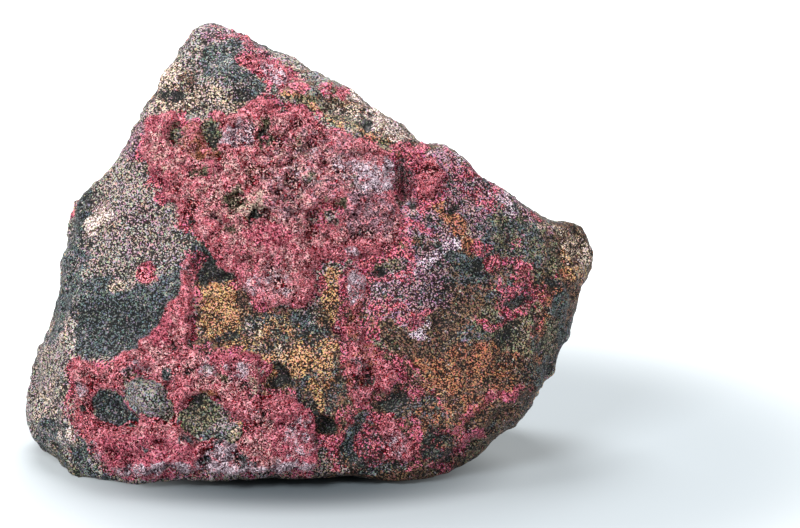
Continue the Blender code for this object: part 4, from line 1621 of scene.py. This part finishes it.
@dataclass
class ErythriteCrust:
    """One crust of erythrite, with its lumps, pits and stains, and painted shade in its hollows.

    Attributes:
        node: The solid that it stands for.
        slot: The record's material. Not used.
        finish: Its look.
        face_size: The size of its faces, in metres.
        swell: How far it swells to meet the rock, in millimetres.
        lump: How high its rounded lumps are, in millimetres.
        margin: How far from its solid's edge it starts, in millimetres.
        thinning: Over what width it thins out from there, in millimetres.
        sink: How far its edge is sunk into the rock, in millimetres.
        deepest: How far into the rock its pits reach at most, in millimetres.
        pit: How deep its black pits are, in millimetres.
        bare_drop: How much lower it is where rock shows through, in millimetres.
        drop: How much lower all of it is, in millimetres.
        big: Its big lumps, as shares of the lumps' height.
        small: Its small lumps.
        gaps: The hollows between its lumps.
        swells: Its broad swells.
        ragged: How its edge wanders.
        rim: How the hot pink along its edge wanders.
        rim_width: How far that pink reaches from the edge, in millimetres.
        rim_full: Up to how far from the edge it is full.
    """

    node: str
    slot: str
    finish: CrustFinish
    face_size: float = 0.00032
    swell: float = 0.30
    lump: float = 0.6
    margin: float = 0.35
    thinning: float = 1.2
    sink: float = 0.5
    deepest: float = 0.3
    pit: float = 1.8
    bare_drop: float = 0.8
    drop: float = 0.3
    big: Relief = Relief(2.6, 1.3)
    small: Relief = Relief(1.1, 1.0)
    gaps: Relief = Relief(3.0, 2.6, 4)
    swells: Relief = Relief(7.0, 0.6, 2)
    ragged: Relief = Relief(2.6, 0.9, 3)
    rim: Relief = Relief(3.6, 1.5, 3)
    rim_width: float = 4.5
    rim_full: float = 0.5
    piece: bpy.types.Object = field(init=False)

    def build(self, rock: BVHTree) -> None:
        """Makes the mesh, lumps and stains it.

        Args:
            rock: The rock's surface, which tells the crust's outer side from its underside.
        """
        self.piece = fine_copy(self.node, f"{self.node}_growth", self.face_size, 1)
        mesh = self.piece.data
        places = mesh_places(mesh)
        laid = LAYOUT.lay_out(places)
        found = [rock.find_nearest(Vector(place)) for place in places]
        away = np.array([hit[3] for hit in found]) / MM
        off_rock = np.array([(Vector(place) - hit[0]).normalized() for place, hit in zip(places, found)])
        full = self.fullness(places, laid, away, (mesh_normals(mesh) * off_rock).sum(axis=1))
        outer = eased(*OUTER_FROM, away)
        amounts = CRUST_STAINS.amounts(laid)
        for mineral in Mineral:
            set_amount(mesh, mineral.value, amounts[mineral])
        full = full * (1 - amounts[Mineral.BARE])
        bare = np.clip(np.maximum(amounts[Mineral.OLIVE], amounts[Mineral.SLATE]), 0, 1)
        pitted = amounts[Mineral.BLACK]
        rise = self.relief(laid, pitted, bare)
        # Painted shade: hollows are coloured darker than lumps, and the thin margins are coloured darker too.
        set_amount(mesh, "rise", np.clip(0.55 + 0.5 * rise, 0, 1) * (0.45 + 0.55 * full))
        cover = outer * full * (1 - BARE_OF_SPRAYS * bare) * (1 - pitted)
        set_amount(mesh, "cover", cover * eased(*OPEN_FROM, rise))
        # The underside moves less than the outer side, and pits end inside the rock.
        moved = full * (self.swell + rise * (0.35 + 0.65 * outer))
        push_out(mesh, np.maximum(moved, -away - self.deepest))
        sunk = (1 - full) * (away + self.sink) * (mesh_places(mesh)[:, 2] > 0)
        set_places(mesh, mesh_places(mesh) - MM * sunk[:, None] * off_rock)
        mesh.materials.append(self.finish.build())
        mesh.shade_smooth()

    def fullness(
        self, places: np.ndarray, laid: np.ndarray, away: np.ndarray, level: np.ndarray
    ) -> np.ndarray:
        """How fully the crust has grown: it thins out raggedly towards its margins.

        Args:
            places: The vertices, in metres.
            laid: The vertices in the layout.
            away: How far each is from the rock, in millimetres.
            level: How much each looks away from the rock, from -1 to 1.

        Returns:
            One value from 0 to 1 for each vertex.
        """
        walls = np.flatnonzero((np.abs(level) < WALL_LEVEL) & (away > WALL_START))
        tree = KDTree(len(walls))
        for number, index in enumerate(walls):
            tree.insert(Vector(places[index]), number)
        tree.balance()
        inward = np.array([tree.find(Vector(place))[2] for place in places]) / MM
        rim = self.rim.height * rough_noise(laid, self.rim.length, self.rim.layers, Seed.RIM)
        set_amount(self.piece.data, "rim", eased(self.rim_width, self.rim_full, inward + rim))
        ragged = rough_noise(laid, self.ragged.length, self.ragged.layers, Seed.RAGGED_EDGE)
        return eased(self.margin, self.margin + self.thinning, inward + self.ragged.height * ragged)

    def relief(self, laid: np.ndarray, pitted: np.ndarray, bare: np.ndarray) -> np.ndarray:
        """The crust's lumps and pits.

        Args:
            laid: The vertices in the layout.
            pitted: Where it has holes.
            bare: Where rock shows through.

        Returns:
            The rise of each vertex, in millimetres.
        """
        big = np.clip(grains(laid, self.big.length, Seed.BIG_LUMPS), LOWEST_GRAIN, 1)
        small = np.clip(grains(laid, self.small.length, Seed.SMALL_LUMPS), LOWEST_GRAIN, 1)
        gaps = eased(*GAPS_FROM, rough_noise(laid, self.gaps.length, self.gaps.layers, Seed.GAPS))
        swells = rough_noise(laid, self.swells.length, self.swells.layers, Seed.CRUST_SWELLS)
        lumps = big * self.lump * self.big.height + small * self.lump * self.small.height
        lumps = lumps + swells * self.lump * self.swells.height - gaps * self.lump * self.gaps.height
        return lumps - self.pit * pitted - self.bare_drop * bare - self.drop


class TreeWork:
    """Builds one tree of geometry nodes, a step at a time."""

    def __init__(self, name: str) -> None:
        """Starts a tree with this name."""
        self.tree = bpy.data.node_groups.new(name, "GeometryNodeTree")

    def add(
        self, kind: str, settings: dict[str, object], inputs: dict[str | int, object]
    ) -> bpy.types.Node:
        """Adds a node.

        Args:
            kind: The node's type.
            settings: Its own settings.
            inputs: For each input the output that it takes, or a plain value.

        Returns:
            The node.
        """
        node = self.tree.nodes.new(kind)
        for name, value in settings.items():
            setattr(node, name, value)
        for name, value in inputs.items():
            if isinstance(value, bpy.types.NodeSocket):
                self.tree.links.new(value, node.inputs[name])
            else:
                node.inputs[name].default_value = value
        return node

    def times(self, value: bpy.types.NodeSocket, by: object) -> bpy.types.NodeSocket:
        """The product of an output and a value or another output."""
        return self.add("ShaderNodeMath", {"operation": "MULTIPLY"}, {0: value, 1: by}).outputs["Value"]

    def height(self) -> bpy.types.NodeSocket:
        """The height of each point of the mesh that is being built."""
        place = self.add("GeometryNodeInputPosition", {}, {}).outputs["Position"]
        return self.add("ShaderNodeSeparateXYZ", {}, {"Vector": place}).outputs["Z"]

    def keep(
        self, geometry: bpy.types.NodeSocket, domain: str, name: str, value: bpy.types.NodeSocket
    ) -> bpy.types.NodeSocket:
        """Keeps a value on some geometry.

        Args:
            geometry: The geometry.
            domain: What gets a value each: POINT or INSTANCE.
            name: The attribute's name.
            value: The value.

        Returns:
            The geometry with the value.
        """
        settings = {"data_type": "FLOAT", "domain": domain}
        inputs = {"Name": name, "Geometry": geometry, "Value": value}
        return self.add("GeometryNodeStoreNamedAttribute", settings, inputs).outputs["Geometry"]

    def random_value(self, limits: tuple[float, float], draw: Draw) -> bpy.types.NodeSocket:
        """A random value between two limits for each point."""
        inputs = {2: limits[0], 3: limits[1], "Seed": int(draw)}
        return self.add("FunctionNodeRandomValue", {"data_type": "FLOAT"}, inputs).outputs[1]

    def tilted(self, turn: bpy.types.NodeSocket, lean: float, draw: Draw) -> bpy.types.NodeSocket:
        """A turn with a random lean and spin on it for each point.

        Args:
            turn: The turn before that.
            lean: The most that it leans, in radians.
            draw: Which set of random values is meant.

        Returns:
            The turn's output.
        """
        inputs = {0: (-lean, -lean, -math.pi), 1: (lean, lean, math.pi), "Seed": int(draw)}
        by = self.add("FunctionNodeRandomValue", {"data_type": "FLOAT_VECTOR"}, inputs).outputs[0]
        inputs = {"Rotation": turn, "Rotate By": by}
        return self.add("FunctionNodeRotateRotation", {"rotation_space": "LOCAL"}, inputs).outputs["Rotation"]


@dataclass(frozen=True)
class SprayGrowth:
    """Sprays of crystal blades that stand on a surface, grown by geometry nodes.

    Attributes:
        name: The tree's name.
        density: How many sprays stand on a square millimetre.
        radius: The reach of an average spray, in millimetres.
        blade_width: A blade's width, as a share of its length.
        seed: Which scatter is meant.
        spacing: The least distance between sprays, as a share of their radius.
        sizes: The sprays' least and greatest size, as shares of their radius.
        lean: The most that a spray leans, in radians.
        blade_sides: How many sides a blade has.
        blade_lengths: The least and greatest length of a blade, as shares of its spray.
        blade_lean: The most that a blade leans from its own direction, in radians.
        core: The radius that the blades start from, as a share of their spray.
        level: The height in the core over which blades grow, as a share of their spray.
    """

    name: str
    density: float
    radius: float
    blade_width: float = 0.26
    seed: int = 3
    spacing: float = 0.45
    sizes: tuple[float, float] = (0.55, 1.45)
    lean: float = 0.45
    blade_sides: int = 3
    blade_lengths: tuple[float, float] = (0.55, 1.0)
    blade_lean: float = 0.35
    core: float = 0.06
    level: float = 0.002

    def tree(self, material: bpy.types.Material) -> bpy.types.NodeTree:
        """Builds the tree of nodes.

        Args:
            material: The blades' material.

        Returns:
            The tree, whose inputs are Density, Radius, Blade Width and Seed.
        """
        work = TreeWork(self.name)
        face = work.tree.interface
        face.new_socket("Surface", in_out="INPUT", socket_type="NodeSocketGeometry")
        for label in ("Density", "Radius", "Blade Width"):
            face.new_socket(label, in_out="INPUT", socket_type="NodeSocketFloat")
        face.new_socket("Seed", in_out="INPUT", socket_type="NodeSocketInt")
        face.new_socket("Sprays", in_out="OUTPUT", socket_type="NodeSocketGeometry")
        given = work.add("NodeGroupInput", {}, {}).outputs
        cover = work.add("GeometryNodeInputNamedAttribute", {}, {"Name": "cover"})
        scatter = work.add(
            "GeometryNodeDistributePointsOnFaces",
            {"distribute_method": "POISSON"},
            {
                "Mesh": given["Surface"],
                "Density Max": given["Density"],
                "Distance Min": work.times(given["Radius"], self.spacing),
                "Density Factor": cover.outputs["Attribute"],
                "Seed": given["Seed"],
            },
        )
        place = work.add(
            "GeometryNodeInstanceOnPoints",
            {},
            {
                "Points": scatter.outputs["Points"],
                "Instance": self.spray(work, given["Blade Width"]),
                "Rotation": work.tilted(scatter.outputs["Rotation"], self.lean, Draw.LEAN),
                "Scale": work.times(work.random_value(self.sizes, Draw.SIZE), given["Radius"]),
            },
        )
        tone = work.random_value((0.0, 1.0), Draw.TONE)
        toned = work.keep(place.outputs["Instances"], "INSTANCE", "tone", tone)
        whole = work.add("GeometryNodeRealizeInstances", {}, {"Geometry": toned}).outputs["Geometry"]
        dressed = work.add("GeometryNodeSetMaterial", {}, {"Geometry": whole, "Material": material})
        work.add("NodeGroupOutput", {}, {"Sprays": dressed.outputs["Geometry"]})
        return work.tree

    def spray(self, work: TreeWork, width: bpy.types.NodeSocket) -> bpy.types.NodeSocket:
        """Nodes for one spray: blades that radiate from a point, over the upper half.

        Args:
            work: The tree that gets the nodes.
            width: The blades' width, as a share of their length.

        Returns:
            The spray's output, of radius 1.
        """
        blade = work.add(
            "GeometryNodeMeshCone",
            {"fill_type": "NGON"},
            {
                "Vertices": self.blade_sides,
                "Side Segments": 1,
                "Radius Top": 0.0,
                "Radius Bottom": work.times(width, 0.5),
                "Depth": 1.0,
            },
        )
        tipped = work.keep(blade.outputs["Mesh"], "POINT", "tip", work.height())
        core = work.add("GeometryNodeMeshIcoSphere", {}, {"Radius": self.core, "Subdivisions": 1})
        levels = {"A": work.height(), "B": self.level}
        upper = work.add("FunctionNodeCompare", {"operation": "GREATER_THAN"}, levels)
        normal = work.add("GeometryNodeInputNormal", {}, {}).outputs["Normal"]
        outward = work.add("FunctionNodeAlignRotationToVector", {"axis": "Z"}, {"Vector": normal})
        blades = work.add(
            "GeometryNodeInstanceOnPoints",
            {},
            {
                "Points": core.outputs["Mesh"],
                "Selection": upper.outputs["Result"],
                "Instance": tipped,
                "Rotation": work.tilted(outward.outputs["Rotation"], self.blade_lean, Draw.WOBBLE),
                "Scale": work.random_value(self.blade_lengths, Draw.LENGTH),
            },
        )
        whole = work.add("GeometryNodeRealizeInstances", {}, {"Geometry": blades.outputs["Instances"]})
        return whole.outputs["Geometry"]

    def grow(self, surface: bpy.types.Object, name: str, material: bpy.types.Material) -> bpy.types.Object:
        """Grows the sprays on a surface, as one plain mesh.

        Args:
            surface: The object they stand on, with a cover attribute from 0 to 1.
            name: The new piece's name.
            material: The blades' material.

        Returns:
            The new piece.
        """
        tree = self.tree(material)
        sprays = bpy.data.objects.new(name, surface.data.copy())
        bpy.context.scene.collection.objects.link(sprays)
        modifier = sprays.modifiers.new("sprays", "NODES")
        modifier.node_group = tree
        values = {
            "Density": self.density / MM**2,
            "Radius": self.radius * MM,
            "Blade Width": self.blade_width,
            "Seed": self.seed,
        }
        for socket in tree.interface.items_tree:
            if socket.in_out == "INPUT" and socket.name in values:
                modifier[socket.identifier] = values[socket.name]
        mesh = settled_mesh(sprays)
        push_out(mesh, np.zeros(len(mesh.vertices)))
        sprays.modifiers.clear()
        sprays.data = mesh
        mesh.name = name
        return sprays


@dataclass(frozen=True)
class Panel:
    """One square light that shines at the stone.

    Attributes:
        name: The light's name.
        place: Where it hangs, in metres.
        size: Its width, in metres.
        power: Its power, in watts.
    """

    name: str
    place: tuple[float, float, float]
    size: float
    power: float


@dataclass(frozen=True)
class FloorLook:
    """The look of the floor: a pool of painted shade round the stone, and a painted glow that grows away from
    it.

    Attributes:
        pool: The colour of the pool of painted shade.
        near: The colour beyond the pool, darker than the far one as painted shade.
        far: The colour far from the stone.
        glow: The colour of the painted glow, light that the floor gives off though it is no lamp.
        pool_middle: The middle of the pool, in metres.
        pool_half: Half its width and depth, in metres.
        pool_edge: The squares of the distances, in half sizes, between which the pool ends.
        far_middle: The middle of the near colour, in metres.
        far_edge: The distances between which the near colour turns into the far one, in metres.
        far_glow: How much painted glow the far floor gives off.
        clear_glow: How much painted glow the floor outside the pool gives off.
        roughness: The roughness.
    """

    pool: Colour = (0.128, 0.157, 0.175)
    near: Colour = (0.205, 0.233, 0.254)
    far: Colour = (0.56, 0.57, 0.57)
    glow: Colour = (0.92, 0.98, 1.0)
    pool_middle: Point = (-0.003, -0.020)
    pool_half: Point = (0.039, 0.026)
    pool_edge: Point = (0.1, 1.5)
    far_middle: Point = (0.025, -0.010)
    far_edge: Point = (0.055, 0.13)
    far_glow: float = 0.4
    clear_glow: float = 0.34
    roughness: float = 0.7

    def build(self) -> bpy.types.Material:
        """Builds the material."""
        shade = Shade("floor_look")
        # Painted shade and light: the colour darkens in a pool round the stone and towards it, and the floor
        # glows though it is no lamp, more so away from the stone.
        far = self.squared_reach(shade, self.far_middle, (1.0, 1.0))
        back = shade.between(far, self.far_edge[0] ** 2, self.far_edge[1] ** 2)
        clear = shade.between(self.squared_reach(shade, self.pool_middle, self.pool_half), *self.pool_edge)
        colour = shade.mix(clear, self.pool, shade.mix(back, self.near, self.far))
        glow = shade.sum(
            "ADD", shade.sum("MULTIPLY", back, self.far_glow), shade.sum("MULTIPLY", clear, self.clear_glow)
        )
        shade.feed(shade.shader.inputs["Base Color"], colour)
        shade.feed(shade.shader.inputs["Roughness"], self.roughness)
        shade.feed(shade.shader.inputs["Emission Color"], self.glow)
        shade.feed(shade.shader.inputs["Emission Strength"], glow)
        return shade.material

    def squared_reach(self, shade: Shade, middle: Point, half: Point) -> bpy.types.NodeSocket:
        """The square of each place's distance from a middle.

        Args:
            shade: The material that gets the nodes.
            middle: The middle, in metres.
            half: The unit of the distance along each of the floor's axes, in metres.

        Returns:
            The square's output.
        """
        split = shade.nodes.new("ShaderNodeSeparateXYZ")
        shade.links.new(shade.places, split.inputs["Vector"])
        squares = []
        for axis, centre, unit in zip("XY", middle, half):
            off = shade.sum("DIVIDE", shade.sum("SUBTRACT", split.outputs[axis], centre), unit)
            squares.append(shade.sum("MULTIPLY", off, off))
        return shade.sum("ADD", *squares)


@dataclass
class Studio:
    """The floor, the lights and the camera.

    Attributes:
        distance: How far the camera is from the stone, in metres.
        seen_width: The width of the picture at the stone, in metres.
        aim_across: Across of the picture's middle on the display face, in millimetres.
        aim_up: Up of the picture's middle.
        aim_deep: Depth of the place that the camera aims at.
        sensor: The camera's sensor width, in millimetres.
        farthest: How far the camera sees, in metres.
        floor_size: The floor's width, in metres.
        panels: The lights: a soft key light from above, a broad one from behind and a weak fill.
        lit_height: The height that the lights aim at, in metres.
        sky: The colour of the light from all round.
        sky_strength: How strong that light is.
    """

    distance: float = 1.25
    seen_width: float = 0.160
    aim_across: float = 18.0
    aim_up: float = 44.2
    aim_deep: float = 8.0
    sensor: float = 36.0
    farthest: float = 20.0
    floor_size: float = 6.0
    panels: tuple[Panel, ...] = (
        Panel("key", (-0.42, -0.76, 0.84), 0.5, 13.5),
        Panel("back", (-0.12, 0.55, 1.0), 0.6, 18.0),
        Panel("fill", (0.9, -0.9, 0.35), 0.8, 1.6),
    )
    lit_height: float = 0.04
    sky: Colour = (0.92, 0.96, 1.0)
    sky_strength: float = 0.2

    def build(self) -> None:
        """Sets everything up."""
        self.floor()
        for panel in self.panels:
            self.light(panel)
        self.surround()
        self.camera()

    def floor(self) -> None:
        """A pale sheet that is darker round the stone than away from it."""
        bpy.ops.mesh.primitive_plane_add(size=self.floor_size, location=(0, 0, 0))
        floor = bpy.context.object
        floor.name = "floor"
        # The floor's material paints shade round the stone and a glow away from it.
        floor.data.materials.append(FloorLook().build())

    def light(self, panel: Panel) -> None:
        """Hangs one light, turned to the stone."""
        light = bpy.data.lights.new(panel.name, "AREA")
        light.size = panel.size
        light.energy = panel.power
        lamp = bpy.data.objects.new(panel.name, light)
        lamp.location = panel.place
        aim = Vector((0, 0, self.lit_height)) - lamp.location
        lamp.rotation_euler = aim.to_track_quat("-Z", "Y").to_euler()
        bpy.context.scene.collection.objects.link(lamp)

    def surround(self) -> None:
        """Weak light from all round."""
        world = bpy.data.worlds.new("surround")
        world.use_nodes = True
        background = world.node_tree.nodes["Background"]
        background.inputs["Color"].default_value = (*self.sky, 1.0)
        background.inputs["Strength"].default_value = self.sky_strength
        bpy.context.scene.world = world

    def camera(self) -> None:
        """A long lens square to the display face."""
        data = bpy.data.cameras.new("camera")
        data.sensor_width = self.sensor
        data.lens = self.sensor * self.distance / self.seen_width
        data.clip_end = self.farthest
        camera = bpy.data.objects.new("camera", data)
        target = LAYOUT.stand_up(self.aim_across, self.aim_deep, self.aim_up)
        towards = Vector(LAYOUT.towards_viewer())
        camera.location = target + towards * self.distance
        camera.rotation_euler = (-towards).to_track_quat("-Z", "Y").to_euler()
        scene = bpy.context.scene
        scene.collection.objects.link(camera)
        scene.camera = camera
        scene.view_settings.view_transform = "Standard"
        scene.view_settings.look = "None"


@dataclass
class Specimen:
    """The whole stone: the rock, its crusts and their sprays.

    Attributes:
        crusts: The crusts.
        rock: The rock.
        sprays: How the sprays on the crusts grow.
        bloom: How the small loose sprays on the rock grow.
        bloom_slot: The record's material of those. Not used.
    """

    crusts: list[ErythriteCrust]
    rock: HostRock = field(default_factory=HostRock)
    sprays: SprayGrowth = SprayGrowth("crust_sprays", density=7.5, radius=0.62)
    bloom: SprayGrowth = SprayGrowth("bloom_sprays", density=4.5, radius=0.40, seed=17)
    bloom_slot: str = "erythrite_rose"

    def build(self) -> None:
        """Builds every piece and hides the solid that it stands for."""
        self.rock.build(solid_surface([crust.node for crust in self.crusts]))
        self.claim(self.rock.piece, self.rock.node)
        solid = solid_surface([self.rock.node])
        blades = BladeFinish().build()
        for crust in self.crusts:
            crust.build(solid)
            self.claim(crust.piece, crust.node)
            self.claim(self.sprays.grow(crust.piece, f"{crust.node}_sprays", blades))
        self.bloom_sprays(blades)

    def bloom_sprays(self, blades: bpy.types.Material) -> None:
        """Small loose sprays where the rock itself is coated pink.

        Args:
            blades: The blades' material.
        """
        mesh = self.rock.piece.data
        rose = self.rock.amounts[Mineral.ROSE]
        set_amount(mesh, "cover", eased(*BLOOM_COVER, rose))
        set_amount(mesh, "rim", eased(*BLOOM_RIM, rose))
        self.claim(self.bloom.grow(self.rock.piece, "bloom_sprays", blades))

    def claim(self, piece: bpy.types.Object, node: str | None = None) -> None:
        """Attaches a finished piece to the body, hides the solid that it replaces, and logs its triangle
        count.

        Args:
            piece: The piece.
            node: The solid that it replaces, if it replaces one.
        """
        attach(piece, BODY)
        if node:
            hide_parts(node)
        triangles = sum(len(face.vertices) - 2 for face in piece.data.polygons)
        LOG.info("%s: %d triangles", piece.name, triangles)


def erythrite_crusts() -> list[ErythriteCrust]:
    """The crusts, each with its slot and look."""
    crimson = CrustFinish("crimson_crust", CRIMSON)
    rose = CrustFinish("rose_crust", PALETTES[Mineral.ROSE])
    magenta = CrustFinish("magenta_crust", DULL_MAGENTA)
    return [
        ErythriteCrust("crust_upper", "erythrite_crimson", crimson),
        ErythriteCrust("crust_lower", "erythrite_crimson", crimson),
        ErythriteCrust("crust_corner", "erythrite_crimson", crimson),
        ErythriteCrust("crust_right", "erythrite_rose", rose, lump=0.45),
        ErythriteCrust("crust_top_edge", "erythrite_rose", rose, lump=0.35, margin=0.0),
        ErythriteCrust("crust_top_knob", "erythrite_rose", rose, lump=0.3, margin=-0.2),
        ErythriteCrust("crust_rosette", "erythrite_rose", rose, lump=0.2, margin=-2.0),
        ErythriteCrust("crust_magenta", "erythrite_magenta", magenta, lump=0.3),
    ]


def main() -> None:
    """Builds the studio and the specimen, and logs their triangle counts."""
    logging.basicConfig(level=logging.INFO, format="%(name)s: %(message)s")
    Studio().build()
    Specimen(crusts=erythrite_crusts()).build()


if __name__ == "__main__":
    main()
